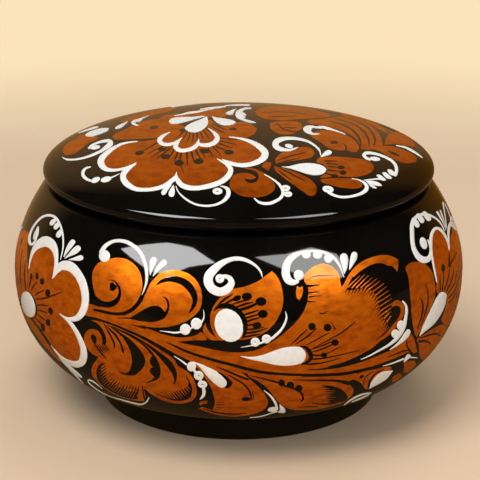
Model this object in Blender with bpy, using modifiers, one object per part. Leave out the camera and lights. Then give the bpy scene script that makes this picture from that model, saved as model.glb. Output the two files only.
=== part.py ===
"""A turned wooden box: a round bowl on a foot ring, and a domed lid that plugs into its mouth.

Metres, +Z up. The origin is the centre of the ring that the foot stands on.
Both pieces are turned, so each is one profile, swept once round the Z axis.
"""

import bmesh
import bpy
import math

# The bowl's outside, from the table up
FOOT_HEIGHT = 0.0074
UNDERSIDE_RISE = 0.0016
UNDERBODY_HEIGHT = 0.0299
SHOULDER_HEIGHT = 0.0251
BODY_RADIUS = 0.0650
ROOT_INSET = 0.0170
SHOULDER_INSET = 0.0098
UNDERBODY_FULLNESS = 2.4
SHOULDER_FULLNESS = 1.82

# The foot ring
FOOT_STEP = 0.0070
FOOT_LAND = 0.0060
FOOT_RECESS = 0.0035
FOOT_ROUND = 0.0008
ROOT_COVE = 0.0025

# The bowl's wall, floor and mouth
WALL = 0.0060
FLOOR_THICKNESS = 0.0065
RIM_WIDTH = 0.0077
RIM_ROUND = 0.0012
MOUTH_ROUND = 0.0006

# The lid's outside, from its seat up
LID_OVERHANG = 0.0007
LID_EDGE_RISE = 0.0037
LID_CROWN = 0.0123
CROWN_FULLNESS = 1.87

# The lid's seat, its spigot and the hollow inside it
SEAT_WIDTH = 0.0030
SPIGOT_LENGTH = 0.0060
SPIGOT_WALL = 0.0040
SPIGOT_ROUND = 0.0006
LID_THICKNESS = 0.0060
CEILING_FULLNESS = 2.0

# The clearances between the two pieces
SEAT_GAP = 0.0003
SPIGOT_CLEARANCE = 0.0004
SPIGOT_END_GAP = 0.0020

# How finely the turned surfaces are divided
TURN_STEPS = 72
CURVE_STEPS = 10
CROWN_STEPS = 12
HOLLOW_STEPS = 8
EDGE_STEPS = 5
CORNER_STEPS = 3
SHARP_ANGLE = math.radians(35)
AXIS_MERGE = 0.00001

# Heights and radii that follow from the sizes above
ROOT_HEIGHT = FOOT_HEIGHT + UNDERSIDE_RISE
WIDEST_HEIGHT = ROOT_HEIGHT + UNDERBODY_HEIGHT
RIM_HEIGHT = WIDEST_HEIGHT + SHOULDER_HEIGHT
RIM_RADIUS = BODY_RADIUS - SHOULDER_INSET
MOUTH_RADIUS = RIM_RADIUS - RIM_WIDTH
ROOT_RADIUS = BODY_RADIUS - ROOT_INSET
FOOT_RADIUS = ROOT_RADIUS - FOOT_STEP
INNER_RADIUS = BODY_RADIUS - WALL
INNER_FLOOR = FOOT_RECESS + FLOOR_THICKNESS
NECK_BOTTOM = RIM_HEIGHT - SPIGOT_LENGTH - SPIGOT_END_GAP
SEAT_HEIGHT = RIM_HEIGHT + SEAT_GAP
LID_RADIUS = RIM_RADIUS + LID_OVERHANG
LID_WIDEST_HEIGHT = SEAT_HEIGHT + LID_EDGE_RISE
SPIGOT_RADIUS = MOUTH_RADIUS - SPIGOT_CLEARANCE
SPIGOT_BOTTOM = SEAT_HEIGHT - SPIGOT_LENGTH


def curve_angle(radius, widest, fullness):
    """The angle along a swelling curve at which it has drawn in to this radius."""
    return math.acos((radius / widest) ** (fullness / 2))


def swell(widest, reach, level, fullness, first, last, steps):
    """Points of a full quarter curve: widest at angle 0, and on the axis at a right angle."""
    points = []
    for step in range(steps + 1):
        angle = first + (last - first) * step / steps
        radius = widest * max(math.cos(angle), 0.0) ** (2 / fullness)
        height = level + reach * math.sin(angle) ** (2 / fullness)
        points.append((radius if radius > AXIS_MERGE else 0.0, height))
    return points


def reach_to(rise, radius, widest, fullness):
    """How far a swelling curve would go to the axis, if it has this radius after this rise."""
    return rise / math.sin(curve_angle(radius, widest, fullness)) ** (2 / fullness)


def rounded(before, corner, after, radius):
    """An arc that rounds the corner between two straight runs."""
    runs = []
    for point in (before, after):
        length = math.dist(point, corner)
        runs.append(((point[0] - corner[0]) / length, (point[1] - corner[1]) / length))
    turn = math.acos(runs[0][0] * runs[1][0] + runs[0][1] * runs[1][1])
    back = radius / math.tan(turn / 2)
    start = [corner[i] + back * runs[0][i] for i in range(2)]
    bisector = [runs[0][i] + runs[1][i] for i in range(2)]
    away = radius / math.sin(turn / 2) / math.hypot(*bisector)
    centre = [corner[i] + away * bisector[i] for i in range(2)]
    spoke = (start[0] - centre[0], start[1] - centre[1])
    side = math.copysign(1, spoke[0] * runs[0][1] - spoke[1] * runs[0][0])
    points = []
    for step in range(CORNER_STEPS + 1):
        angle = -side * (math.pi - turn) * step / CORNER_STEPS
        points.append(
            (
                centre[0] + spoke[0] * math.cos(angle) - spoke[1] * math.sin(angle),
                centre[1] + spoke[0] * math.sin(angle) + spoke[1] * math.cos(angle),
            )
        )
    return points


def bowl_profile():
    """From the centre of the inner floor, up the inside, over the rim and down the outside."""
    inner_rise = NECK_BOTTOM - WIDEST_HEIGHT
    inner_reach = reach_to(inner_rise, MOUTH_RADIUS, INNER_RADIUS, SHOULDER_FULLNESS)
    neck_angle = curve_angle(MOUTH_RADIUS, INNER_RADIUS, SHOULDER_FULLNESS)
    floor_curve = swell(
        INNER_RADIUS,
        INNER_FLOOR - WIDEST_HEIGHT,
        WIDEST_HEIGHT,
        UNDERBODY_FULLNESS,
        math.pi / 2,
        0,
        CURVE_STEPS,
    )
    neck_curve = swell(
        INNER_RADIUS,
        inner_reach,
        WIDEST_HEIGHT,
        SHOULDER_FULLNESS,
        0,
        neck_angle,
        HOLLOW_STEPS,
    )

    outer_reach = reach_to(SHOULDER_HEIGHT, RIM_RADIUS, BODY_RADIUS, SHOULDER_FULLNESS)
    rim_angle = curve_angle(RIM_RADIUS, BODY_RADIUS, SHOULDER_FULLNESS)
    shoulder = swell(
        BODY_RADIUS,
        outer_reach,
        WIDEST_HEIGHT,
        SHOULDER_FULLNESS,
        rim_angle,
        0,
        CURVE_STEPS,
    )
    under_reach = reach_to(UNDERBODY_HEIGHT, ROOT_RADIUS, BODY_RADIUS, UNDERBODY_FULLNESS)
    root_angle = curve_angle(ROOT_RADIUS, BODY_RADIUS, UNDERBODY_FULLNESS)
    underbody = swell(
        BODY_RADIUS,
        -under_reach,
        WIDEST_HEIGHT,
        UNDERBODY_FULLNESS,
        0,
        root_angle,
        CURVE_STEPS,
    )

    mouth_corner = (MOUTH_RADIUS, RIM_HEIGHT)
    rim_corner = shoulder[0]
    rim_middle = (MOUTH_RADIUS + RIM_WIDTH / 2, RIM_HEIGHT)
    root_corner = (FOOT_RADIUS, FOOT_HEIGHT)
    foot_corner = (FOOT_RADIUS, 0)
    land_edge = FOOT_RADIUS - FOOT_LAND
    return (
        floor_curve
        + neck_curve[1:]
        + rounded(neck_curve[-1], mouth_corner, rim_middle, MOUTH_ROUND)
        + rounded(rim_middle, rim_corner, shoulder[1], RIM_ROUND)
        + shoulder[1:]
        + underbody[1:]
        + rounded(underbody[-1], root_corner, foot_corner, ROOT_COVE)
        + rounded(root_corner, foot_corner, (land_edge, 0), FOOT_ROUND)
        + [(land_edge, 0), (land_edge - FOOT_RECESS, FOOT_RECESS), (0, FOOT_RECESS)]
    )


def lid_profile():
    """From the top of the crown, down the outside, round the edge and up inside the spigot."""
    crown = swell(
        LID_RADIUS,
        LID_CROWN,
        LID_WIDEST_HEIGHT,
        CROWN_FULLNESS,
        math.pi / 2,
        0,
        CROWN_STEPS,
    )
    seat_edge = MOUTH_RADIUS + SEAT_WIDTH
    edge = []
    for step in range(1, EDGE_STEPS + 1):
        angle = math.pi / 2 * step / EDGE_STEPS
        edge.append(
            (
                seat_edge + (LID_RADIUS - seat_edge) * math.cos(angle),
                LID_WIDEST_HEIGHT - LID_EDGE_RISE * math.sin(angle),
            )
        )
    bore = SPIGOT_RADIUS - SPIGOT_WALL
    root = (SPIGOT_RADIUS, SEAT_HEIGHT)
    outer_end = (SPIGOT_RADIUS, SPIGOT_BOTTOM)
    inner_end = (bore, SPIGOT_BOTTOM)
    ceiling = swell(
        bore,
        LID_EDGE_RISE + LID_CROWN - LID_THICKNESS,
        SEAT_HEIGHT,
        CEILING_FULLNESS,
        0,
        math.pi / 2,
        HOLLOW_STEPS,
    )
    return (
        crown
        + edge
        + [root]
        + rounded(root, outer_end, inner_end, SPIGOT_ROUND)
        + rounded(outer_end, inner_end, ceiling[0], SPIGOT_ROUND)
        + ceiling
    )


def material(name, colour, roughness):
    """A gloss lacquer in one colour."""
    made = bpy.data.materials.new(name)
    made.use_nodes = True
    shader = made.node_tree.nodes["Principled BSDF"]
    shader.inputs["Base Color"].default_value = (*colour, 1)
    shader.inputs["Metallic"].default_value = 0
    shader.inputs["Roughness"].default_value = roughness
    shader.inputs["Coat Weight"].default_value = 1
    return made


def turned(name, profile, finish, collection):
    """One closed solid, swept round the Z axis from a profile of (radius, height) points."""
    outline = bpy.data.meshes.new(name + "_outline")
    edges = [(step, step + 1) for step in range(len(profile) - 1)]
    outline.from_pydata([(radius, 0, height) for radius, height in profile], edges, [])
    piece = bpy.data.objects.new(name, outline)
    collection.objects.link(piece)
    screw = piece.modifiers.new("turn", "SCREW")
    screw.steps = TURN_STEPS
    screw.render_steps = TURN_STEPS
    screw.use_merge_vertices = True
    screw.merge_threshold = AXIS_MERGE

    bpy.context.view_layer.update()
    graph = bpy.context.evaluated_depsgraph_get()
    solid = bpy.data.meshes.new_from_object(piece.evaluated_get(graph))
    solid.name = name
    shape = bmesh.new()
    shape.from_mesh(solid)
    bmesh.ops.remove_doubles(shape, verts=shape.verts, dist=AXIS_MERGE)
    shape.to_mesh(solid)
    shape.free()

    piece.modifiers.clear()
    piece.data = solid
    bpy.data.meshes.remove(outline)
    solid.shade_smooth()
    solid.set_sharp_from_angle(angle=SHARP_ANGLE)
    solid.materials.clear()
    solid.materials.append(finish)
    return piece


def clear_scene():
    for old in list(bpy.data.objects):
        bpy.data.objects.remove(old, do_unlink=True)


def main():
    clear_scene()
    box = bpy.data.collections.new("lacquered_box")
    bpy.context.scene.collection.children.link(box)
    bowl_lacquer = material("bowl_lacquer", (0.012, 0.009, 0.007), 0.12)
    lid_lacquer = material("lid_lacquer", (0.010, 0.008, 0.006), 0.10)
    turned("bowl", bowl_profile(), bowl_lacquer, box)
    turned("lid", lid_profile(), lid_lacquer, box)


main()
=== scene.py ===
"""A lacquered wooden box: a round bowl and a domed lid, painted with leaves, flowers and curls.

Metres, +Z up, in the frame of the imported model. The painted ornament is thin raised geometry.
Most brush marks are given by points in the photograph's frame, 480 wide and 480 high, and are
laid on the turned surface that lies under those points. Marks that the photograph hides or shows
too flat are given on the surface's own map.
"""

import math

import bmesh
import bpy
import numpy as np
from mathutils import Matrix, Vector
from mathutils.geometry import delaunay_2d_cdt


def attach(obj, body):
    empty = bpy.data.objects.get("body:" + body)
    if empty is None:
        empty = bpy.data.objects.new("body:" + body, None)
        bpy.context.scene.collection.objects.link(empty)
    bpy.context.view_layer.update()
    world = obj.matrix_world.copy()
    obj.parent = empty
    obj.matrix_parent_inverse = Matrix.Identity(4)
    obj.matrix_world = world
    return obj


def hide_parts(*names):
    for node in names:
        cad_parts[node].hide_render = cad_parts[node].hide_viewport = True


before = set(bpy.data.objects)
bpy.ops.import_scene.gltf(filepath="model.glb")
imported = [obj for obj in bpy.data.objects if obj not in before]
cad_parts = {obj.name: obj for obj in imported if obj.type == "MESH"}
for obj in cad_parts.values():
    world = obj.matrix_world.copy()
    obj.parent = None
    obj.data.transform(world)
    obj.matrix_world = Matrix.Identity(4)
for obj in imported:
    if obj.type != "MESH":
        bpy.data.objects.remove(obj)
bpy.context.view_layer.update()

# The turned sizes, in metres. A fullness of 2 is an ellipse, and more is squarer
FOOT_HEIGHT = 0.0074
UNDERSIDE_RISE = 0.0016
UNDERBODY_HEIGHT = 0.0299
SHOULDER_HEIGHT = 0.0251
BODY_RADIUS = 0.0650
ROOT_INSET = 0.0170
SHOULDER_INSET = 0.0098
UNDERBODY_FULLNESS = 2.4
SHOULDER_FULLNESS = 1.82
FOOT_STEP = 0.0070
FOOT_LAND = 0.0060
FOOT_RECESS = 0.0035
FOOT_ROUND = 0.0008
ROOT_COVE = 0.0025
WALL = 0.0060
FLOOR_THICKNESS = 0.0065
RIM_WIDTH = 0.0077
RIM_ROUND = 0.0012
MOUTH_ROUND = 0.0006
LID_OVERHANG = 0.0007
LID_EDGE_RISE = 0.0037
LID_CROWN = 0.0123
CROWN_FULLNESS = 1.87
SEAT_WIDTH = 0.0030
SPIGOT_LENGTH = 0.0060
SPIGOT_WALL = 0.0040
SPIGOT_ROUND = 0.0006
LID_THICKNESS = 0.0060
CEILING_FULLNESS = 2.0
SEAT_GAP = 0.0003
SPIGOT_CLEARANCE = 0.0004
SPIGOT_END_GAP = 0.0020

# Heights and radii that follow from them
ROOT_HEIGHT = FOOT_HEIGHT + UNDERSIDE_RISE
WIDEST_HEIGHT = ROOT_HEIGHT + UNDERBODY_HEIGHT
RIM_HEIGHT = WIDEST_HEIGHT + SHOULDER_HEIGHT
RIM_RADIUS = BODY_RADIUS - SHOULDER_INSET
MOUTH_RADIUS = RIM_RADIUS - RIM_WIDTH
ROOT_RADIUS = BODY_RADIUS - ROOT_INSET
FOOT_RADIUS = ROOT_RADIUS - FOOT_STEP
INNER_RADIUS = BODY_RADIUS - WALL
INNER_FLOOR = FOOT_RECESS + FLOOR_THICKNESS
NECK_BOTTOM = RIM_HEIGHT - SPIGOT_LENGTH - SPIGOT_END_GAP
SEAT_HEIGHT = RIM_HEIGHT + SEAT_GAP
LID_RADIUS = RIM_RADIUS + LID_OVERHANG
LID_WIDEST_HEIGHT = SEAT_HEIGHT + LID_EDGE_RISE
SPIGOT_RADIUS = MOUTH_RADIUS - SPIGOT_CLEARANCE
SPIGOT_BOTTOM = SEAT_HEIGHT - SPIGOT_LENGTH

# How finely the turned surfaces are divided
TURN_STEPS = 288
OUTER_STEPS = 64
CROWN_STEPS = 72
HOLLOW_STEPS = 24
EDGE_STEPS = 16
CORNER_STEPS = 6
SHARP_ANGLE = math.radians(35)
AXIS_MERGE = 0.00001

# The camera of the photograph
FRAME_PIXELS = 480
SENSOR = 36.0
FOCAL_PIXELS = 1707.8
CAMERA_PLACE = (0.0, -0.47204, 0.2037)
CAMERA_PITCH = 0.3246
CAMERA_YAW = 0.0008
CAMERA_NEAREST = 0.01


# Profiles of the two turned pieces


def curve_angle(radius, widest, fullness):
    """The angle along a swelling curve at which it has drawn in to this radius."""
    return math.acos((radius / widest) ** (fullness / 2))


def swell(widest, reach, level, fullness, first, last, steps):
    """Points of a full quarter curve: widest at angle 0, and on the axis at a right angle."""
    points = []
    for step in range(steps + 1):
        angle = first + (last - first) * step / steps
        radius = widest * max(math.cos(angle), 0.0) ** (2 / fullness)
        height = level + reach * math.sin(angle) ** (2 / fullness)
        points.append((radius if radius > AXIS_MERGE else 0.0, height))
    return points


def reach_to(rise, radius, widest, fullness):
    """How far a swelling curve would go to the axis, if it has this radius after this rise."""
    return rise / math.sin(curve_angle(radius, widest, fullness)) ** (2 / fullness)


def rounded(before, corner, after, radius):
    """An arc that rounds the corner between two straight runs."""
    runs = []
    for point in (before, after):
        length = math.dist(point, corner)
        runs.append(((point[0] - corner[0]) / length, (point[1] - corner[1]) / length))
    turn = math.acos(runs[0][0] * runs[1][0] + runs[0][1] * runs[1][1])
    back = radius / math.tan(turn / 2)
    start = [corner[i] + back * runs[0][i] for i in range(2)]
    bisector = [runs[0][i] + runs[1][i] for i in range(2)]
    away = radius / math.sin(turn / 2) / math.hypot(*bisector)
    centre = [corner[i] + away * bisector[i] for i in range(2)]
    spoke = (start[0] - centre[0], start[1] - centre[1])
    side = math.copysign(1, spoke[0] * runs[0][1] - spoke[1] * runs[0][0])
    points = []
    for step in range(CORNER_STEPS + 1):
        angle = -side * (math.pi - turn) * step / CORNER_STEPS
        across = spoke[0] * math.cos(angle) - spoke[1] * math.sin(angle)
        along = spoke[0] * math.sin(angle) + spoke[1] * math.cos(angle)
        points.append((centre[0] + across, centre[1] + along))
    return points


def bowl_outside():
    """The painted outside of the bowl, from the rim down to the foot."""
    rise = reach_to(SHOULDER_HEIGHT, RIM_RADIUS, BODY_RADIUS, SHOULDER_FULLNESS)
    rim_angle = curve_angle(RIM_RADIUS, BODY_RADIUS, SHOULDER_FULLNESS)
    shoulder = swell(
        BODY_RADIUS, rise, WIDEST_HEIGHT, SHOULDER_FULLNESS, rim_angle, 0, OUTER_STEPS
    )
    drop = reach_to(UNDERBODY_HEIGHT, ROOT_RADIUS, BODY_RADIUS, UNDERBODY_FULLNESS)
    root_angle = curve_angle(ROOT_RADIUS, BODY_RADIUS, UNDERBODY_FULLNESS)
    underbody = swell(
        BODY_RADIUS, -drop, WIDEST_HEIGHT, UNDERBODY_FULLNESS, 0, root_angle, OUTER_STEPS
    )
    return shoulder + underbody[1:]


def bowl_profile():
    """From the centre of the inner floor, up the inside, over the rim and down the outside."""
    inner_rise = NECK_BOTTOM - WIDEST_HEIGHT
    inner_reach = reach_to(inner_rise, MOUTH_RADIUS, INNER_RADIUS, SHOULDER_FULLNESS)
    neck_angle = curve_angle(MOUTH_RADIUS, INNER_RADIUS, SHOULDER_FULLNESS)
    drop = INNER_FLOOR - WIDEST_HEIGHT
    floor_curve = swell(
        INNER_RADIUS, drop, WIDEST_HEIGHT, UNDERBODY_FULLNESS, math.pi / 2, 0, HOLLOW_STEPS
    )
    neck_curve = swell(
        INNER_RADIUS, inner_reach, WIDEST_HEIGHT, SHOULDER_FULLNESS, 0, neck_angle, HOLLOW_STEPS
    )
    outside = bowl_outside()
    mouth_corner = (MOUTH_RADIUS, RIM_HEIGHT)
    rim_middle = (MOUTH_RADIUS + RIM_WIDTH / 2, RIM_HEIGHT)
    root_corner = (FOOT_RADIUS, FOOT_HEIGHT)
    foot_corner = (FOOT_RADIUS, 0)
    land_edge = FOOT_RADIUS - FOOT_LAND
    rim_end = next(i for i, (_, z) in enumerate(outside) if z < RIM_HEIGHT - RIM_ROUND)
    return (
        floor_curve
        + neck_curve[1:]
        + rounded(neck_curve[-1], mouth_corner, rim_middle, MOUTH_ROUND)
        + rounded(rim_middle, outside[0], outside[rim_end], RIM_ROUND)
        + outside[rim_end:]
        + rounded(outside[-1], root_corner, foot_corner, ROOT_COVE)
        + rounded(root_corner, foot_corner, (land_edge, 0), FOOT_ROUND)
        + [(land_edge, 0), (land_edge - FOOT_RECESS, FOOT_RECESS), (0, FOOT_RECESS)]
    )


def lid_outside():
    """The lid from the top of its crown to its widest circle, and round its lower edge."""
    crown = swell(
        LID_RADIUS, LID_CROWN, LID_WIDEST_HEIGHT, CROWN_FULLNESS, math.pi / 2, 0, CROWN_STEPS
    )
    seat_edge = MOUTH_RADIUS + SEAT_WIDTH
    edge = []
    for step in range(1, EDGE_STEPS + 1):
        angle = math.pi / 2 * step / EDGE_STEPS
        radius = seat_edge + (LID_RADIUS - seat_edge) * math.cos(angle)
        edge.append((radius, LID_WIDEST_HEIGHT - LID_EDGE_RISE * math.sin(angle)))
    return crown + edge


def lid_profile():
    """From the top of the crown, round the edge, over the seat and up inside the spigot."""
    bore = SPIGOT_RADIUS - SPIGOT_WALL
    root = (SPIGOT_RADIUS, SEAT_HEIGHT)
    outer_end = (SPIGOT_RADIUS, SPIGOT_BOTTOM)
    inner_end = (bore, SPIGOT_BOTTOM)
    reach = LID_EDGE_RISE + LID_CROWN - LID_THICKNESS
    ceiling = swell(bore, reach, SEAT_HEIGHT, CEILING_FULLNESS, 0, math.pi / 2, HOLLOW_STEPS)
    return (
        lid_outside()
        + [root]
        + rounded(root, outer_end, inner_end, SPIGOT_ROUND)
        + rounded(outer_end, inner_end, ceiling[0], SPIGOT_ROUND)
        + ceiling
    )


# Meshes


def add_piece(name, points, faces, finish, body):
    """A closed mesh that is shaded smoothly and rides on a body."""
    mesh = bpy.data.meshes.new(name)
    mesh.from_pydata([tuple(point) for point in points], [], faces)
    mesh.validate()
    mesh.shade_smooth()
    mesh.set_sharp_from_angle(angle=SHARP_ANGLE)
    mesh.materials.append(finish)
    piece = bpy.data.objects.new(name, mesh)
    bpy.context.scene.collection.objects.link(piece)
    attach(piece, body)
    return piece


def turned(name, profile, finish, body):
    """One closed solid, swept round the Z axis from a profile of (radius, height) points."""
    points = []
    rings = []
    for radius, height in profile:
        if radius == 0:
            rings.append([len(points)] * TURN_STEPS)
            points.append((0, 0, height))
            continue
        rings.append(range(len(points), len(points) + TURN_STEPS))
        for step in range(TURN_STEPS):
            angle = 2 * math.pi * step / TURN_STEPS
            points.append((radius * math.cos(angle), radius * math.sin(angle), height))
    faces = []
    for upper, lower in zip(rings, rings[1:]):
        for step in range(TURN_STEPS):
            after = (step + 1) % TURN_STEPS
            corners = [upper[step], lower[step], lower[after], upper[after]]
            face = list(dict.fromkeys(corners))
            if len(face) > 2:
                faces.append(face)
    piece = add_piece(name, points, faces, finish, body)
    return piece


# Sight lines of the photograph and the surfaces that they meet

# The part of each sight line that is searched, from the camera on, and how finely
SIGHT_FIRST = 0.35
SIGHT_LAST = 0.62
SIGHT_STEPS = 260
SIGHT_HALVINGS = 24
# One step of the marks that are given on a map, and where round the bowl its side map has x = 0
MAP_STEP = 0.0003
SIDE_TURN = -math.pi / 2


def sight_lines(pixels):
    """The directions in which the camera sees these points of its picture."""
    cos_pitch = math.cos(CAMERA_PITCH)
    ahead = np.array(
        [
            math.sin(CAMERA_YAW) * cos_pitch,
            math.cos(CAMERA_YAW) * cos_pitch,
            -math.sin(CAMERA_PITCH),
        ]
    )
    right = np.array([math.cos(CAMERA_YAW), -math.sin(CAMERA_YAW), 0.0])
    down = np.cross(ahead, right)
    offsets = (np.asarray(pixels, float) - FRAME_PIXELS / 2) / FOCAL_PIXELS
    lines = ahead + offsets[:, :1] * right + offsets[:, 1:2] * down
    return lines / np.linalg.norm(lines, axis=1, keepdims=True)


class Surface:
    """A turned outside: where sight lines meet it, and its unrolled map in metres."""

    def __init__(self, profile):
        self.radius = np.array([point[0] for point in profile])
        self.height = np.array([point[1] for point in profile])
        runs = np.hypot(np.diff(self.radius), np.diff(self.height))
        self.along = np.concatenate([[0.0], np.cumsum(runs)])
        fall = np.gradient(self.height, self.along)
        spread = np.gradient(self.radius, self.along)
        size = np.hypot(fall, spread)
        self.lean = -fall / size
        self.rise = spread / size

    def seen(self, pixels):
        """Map places under these points of the picture. A point past the outline takes the limb."""
        lines = sight_lines(pixels)
        camera = np.array(CAMERA_PLACE)
        reach = np.linspace(SIGHT_FIRST, SIGHT_LAST, SIGHT_STEPS)
        places = camera + reach[None, :, None] * lines[:, None, :]
        outside = self.outside(places)
        entered = (outside[:, :-1] > 0) & (outside[:, 1:] <= 0)
        met = entered.any(axis=1)
        first = np.where(met, entered.argmax(axis=1), np.abs(outside).argmin(axis=1))
        near = reach[first]
        far = np.where(met, reach[np.minimum(first + 1, SIGHT_STEPS - 1)], near)
        for _ in range(SIGHT_HALVINGS):
            middle = (near + far) / 2
            inside = self.outside(camera + middle[:, None] * lines) <= 0
            far = np.where(inside, middle, far)
            near = np.where(inside, near, middle)
        return self.to_map(camera + near[:, None] * lines)


class BowlSurface(Surface):
    """The map's first number is the way round at the widest circle, and its second the way down."""

    def outside(self, places):
        """How far out of the surface each place is; below 0 it is inside."""
        height = places[..., 2]
        radius = np.interp(height, self.height[::-1], self.radius[::-1])
        gap = np.hypot(places[..., 0], places[..., 1]) - radius
        beyond = (height > self.height[0]) | (height < self.height[-1] - FOOT_HEIGHT / 2)
        return np.where(beyond, BODY_RADIUS, gap)

    def to_map(self, places):
        """Map places of points on the surface."""
        turn = np.arctan2(places[:, 0], -places[:, 1])
        down = np.interp(-places[:, 2], -self.height, self.along)
        return np.stack([turn * BODY_RADIUS, down], axis=1)

    def lifted(self, spots, lift):
        """Places above these map places, raised by the lift along the surface's normal."""
        turn = spots[:, 0] / BODY_RADIUS
        return self.spun(turn, spots[:, 1], lift)

    def spun(self, turn, along, lift):
        """Places at this turn and this length along the profile, raised by the lift."""
        radius = np.interp(along, self.along, self.radius)
        radius = radius + lift * np.interp(along, self.along, self.lean)
        height = np.interp(along, self.along, self.height)
        height = height + lift * np.interp(along, self.along, self.rise)
        return np.stack([radius * np.sin(turn), -radius * np.cos(turn), height], axis=1)


class SideSurface(BowlSurface):
    """For marks that the photograph doesn't show, given on the map of the bowl's side itself."""

    def seen(self, pixels):
        spots = np.asarray(pixels, float) * MAP_STEP
        return spots + np.array([SIDE_TURN * BODY_RADIUS, 0.0])


class LidSurface(BowlSurface):
    """The crown flattened about its centre: the map runs right and towards the camera."""

    def outside(self, places):
        radius = np.hypot(places[..., 0], places[..., 1])
        top = CROWN_STEPS + 1
        height = np.interp(radius, self.radius[:top], self.height[:top])
        return np.where(radius <= LID_RADIUS, places[..., 2] - height, BODY_RADIUS)

    def to_map(self, places):
        radius = np.hypot(places[:, 0], places[:, 1])
        top = CROWN_STEPS + 1
        along = np.interp(radius, self.radius[:top], self.along[:top])
        turn = np.arctan2(places[:, 0], -places[:, 1])
        return np.stack([along * np.sin(turn), along * np.cos(turn)], axis=1)

    def lifted(self, spots, lift):
        turn = np.arctan2(spots[:, 0], spots[:, 1])
        return self.spun(turn, np.hypot(spots[:, 0], spots[:, 1]), lift)


class LidPlan(LidSurface):
    """For the marks far back on the lid, which the photograph shows too flat, given on its map."""

    def seen(self, pixels):
        return np.asarray(pixels, float) * MAP_STEP


# Brush work

# Steps along lines, outlines and guide lines in points of the photograph, and the narrowest line
LINE_STEP = 1.1
OUTLINE_STEP = 1.3
GUIDE_STEP = 0.5
NARROWEST = 0.3
# The longest step on a map, in metres, and the turn that makes a corner in an outline
LONGEST_STEP = 0.0012
CORNER_TURN = math.radians(58)
# Flat patches: the spacing of points inside, how near the edge they go as a share of it, the least
# gap along the edge, the tiny rise from one patch to the next, which starts again after so many,
# and the kind of triangulation that keeps only what lies inside the outline
MESH_SPACING = 0.0016
EDGE_SHARE = 0.45
EDGE_GAP = 0.00006
LAYER_RISE = 0.0000015
LAYERS = 9
KEEP_INSIDE = 1
# Every mark reaches this far into the lacquer. A line is lower where it is narrow: its share of
# the height is the least share plus its width over the full width, down to the thinnest stroke
SINK = 0.00005
THINNEST_STROKE = 0.000054
LEAST_SHARE = 0.45
FULL_WIDTH = 6
# How domed paint is across, where its columns lie, and how its ends are rounded
DOME = 0.7
DOME_COLUMNS = (-1.0, -0.82, -0.45, 0.0, 0.45, 0.82, 1.0)
CAP_ANGLES = (20, 40, 60, 78)
# Blobs: circles of (reach, height), the dimple in the middle, and the sectors round
DOT_RINGS = ((1.0, 0.25), (0.9, 0.7), (0.68, 0.95), (0.4, 1.0), (0.14, 0.93))
DOT_DIMPLE = 0.17
DOT_SECTORS = 20
# Rings: the brush's width as a share of the ring's, the steps round and those painted twice
RING_BRUSH = 0.44
RING_STEPS = 12
RING_OVERLAP = 2
# A comb's lines keep this share of the root's width at their middle
ROOT_SHARE = 0.75
# Guards against division by nothing, and the least distance between the points of a curve
TINY = 1e-6
TINIEST = 1e-9
LEAST_GAP = 0.01


def curve_through(points, step, closed=False):
    """Points at about this spacing on a smooth curve through the given ones."""
    knots = np.array(points, float)
    count = len(knots)
    if closed:
        knots = np.concatenate([knots[-1:], knots, knots[:2]])
    else:
        knots = np.concatenate([2 * knots[:1] - knots[1:2], knots, 2 * knots[-1:] - knots[-2:-1]])
    made = []
    for i in range(1, (count if closed else count - 1) + 1):
        a, b, c, d = knots[i - 1 : i + 3]
        gaps = [
            max(np.hypot(*(q - p)[:2]), LEAST_GAP) ** 0.5 for p, q in ((a, b), (b, c), (c, d))
        ]
        start = (b - a) / gaps[0] - (c - a) / (gaps[0] + gaps[1]) + (c - b) / gaps[1]
        end = (c - b) / gaps[1] - (d - b) / (gaps[1] + gaps[2]) + (d - c) / gaps[2]
        start, end = start * gaps[1], end * gaps[1]
        pieces = max(1, round(np.hypot(*(c - b)[:2]) / step))
        for k in range(pieces):
            t = k / pieces
            made.append(
                (2 * t**3 - 3 * t**2 + 1) * b
                + (t**3 - 2 * t**2 + t) * start
                + (3 * t**2 - 2 * t**3) * c
                + (t**3 - t**2) * end
            )
    if not closed:
        made.append(knots[-2])
    return np.array(made)


def spacing(surface, made, step):
    """A step so short that no gap on the map is longer than the longest one allowed."""
    gaps = np.hypot(*np.diff(surface.seen(made[:, :2]), axis=0).T)
    return step * min(1.0, LONGEST_STEP / max(gaps.max(), TINY))


def smooth_outline(points, step):
    """A closed outline, smooth but for the places where it turns sharply."""
    corners = []
    count = len(points)
    for i in range(count):
        before, here, after = points[i - 1], points[i], points[(i + 1) % count]
        first = math.atan2(here[1] - before[1], here[0] - before[0])
        second = math.atan2(after[1] - here[1], after[0] - here[0])
        turn = (second - first + math.pi) % (2 * math.pi) - math.pi
        if abs(turn) > CORNER_TURN:
            corners.append(i)
    if not corners:
        return curve_through(points, step, closed=True)
    made = []
    for first, last in zip(corners, corners[1:] + [corners[0] + count]):
        run = [points[i % count] for i in range(first, last + 1)]
        made.extend(curve_through(run, step)[:-1])
    return np.array(made)


def tilted(x, y, right, down, tilt):
    """The point this far right and down of (x, y), with both ways turned by the tilt."""
    cosine, sine = math.cos(math.radians(tilt)), math.sin(math.radians(tilt))
    return (x + right * cosine - down * sine, y + right * sine + down * cosine)


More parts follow.
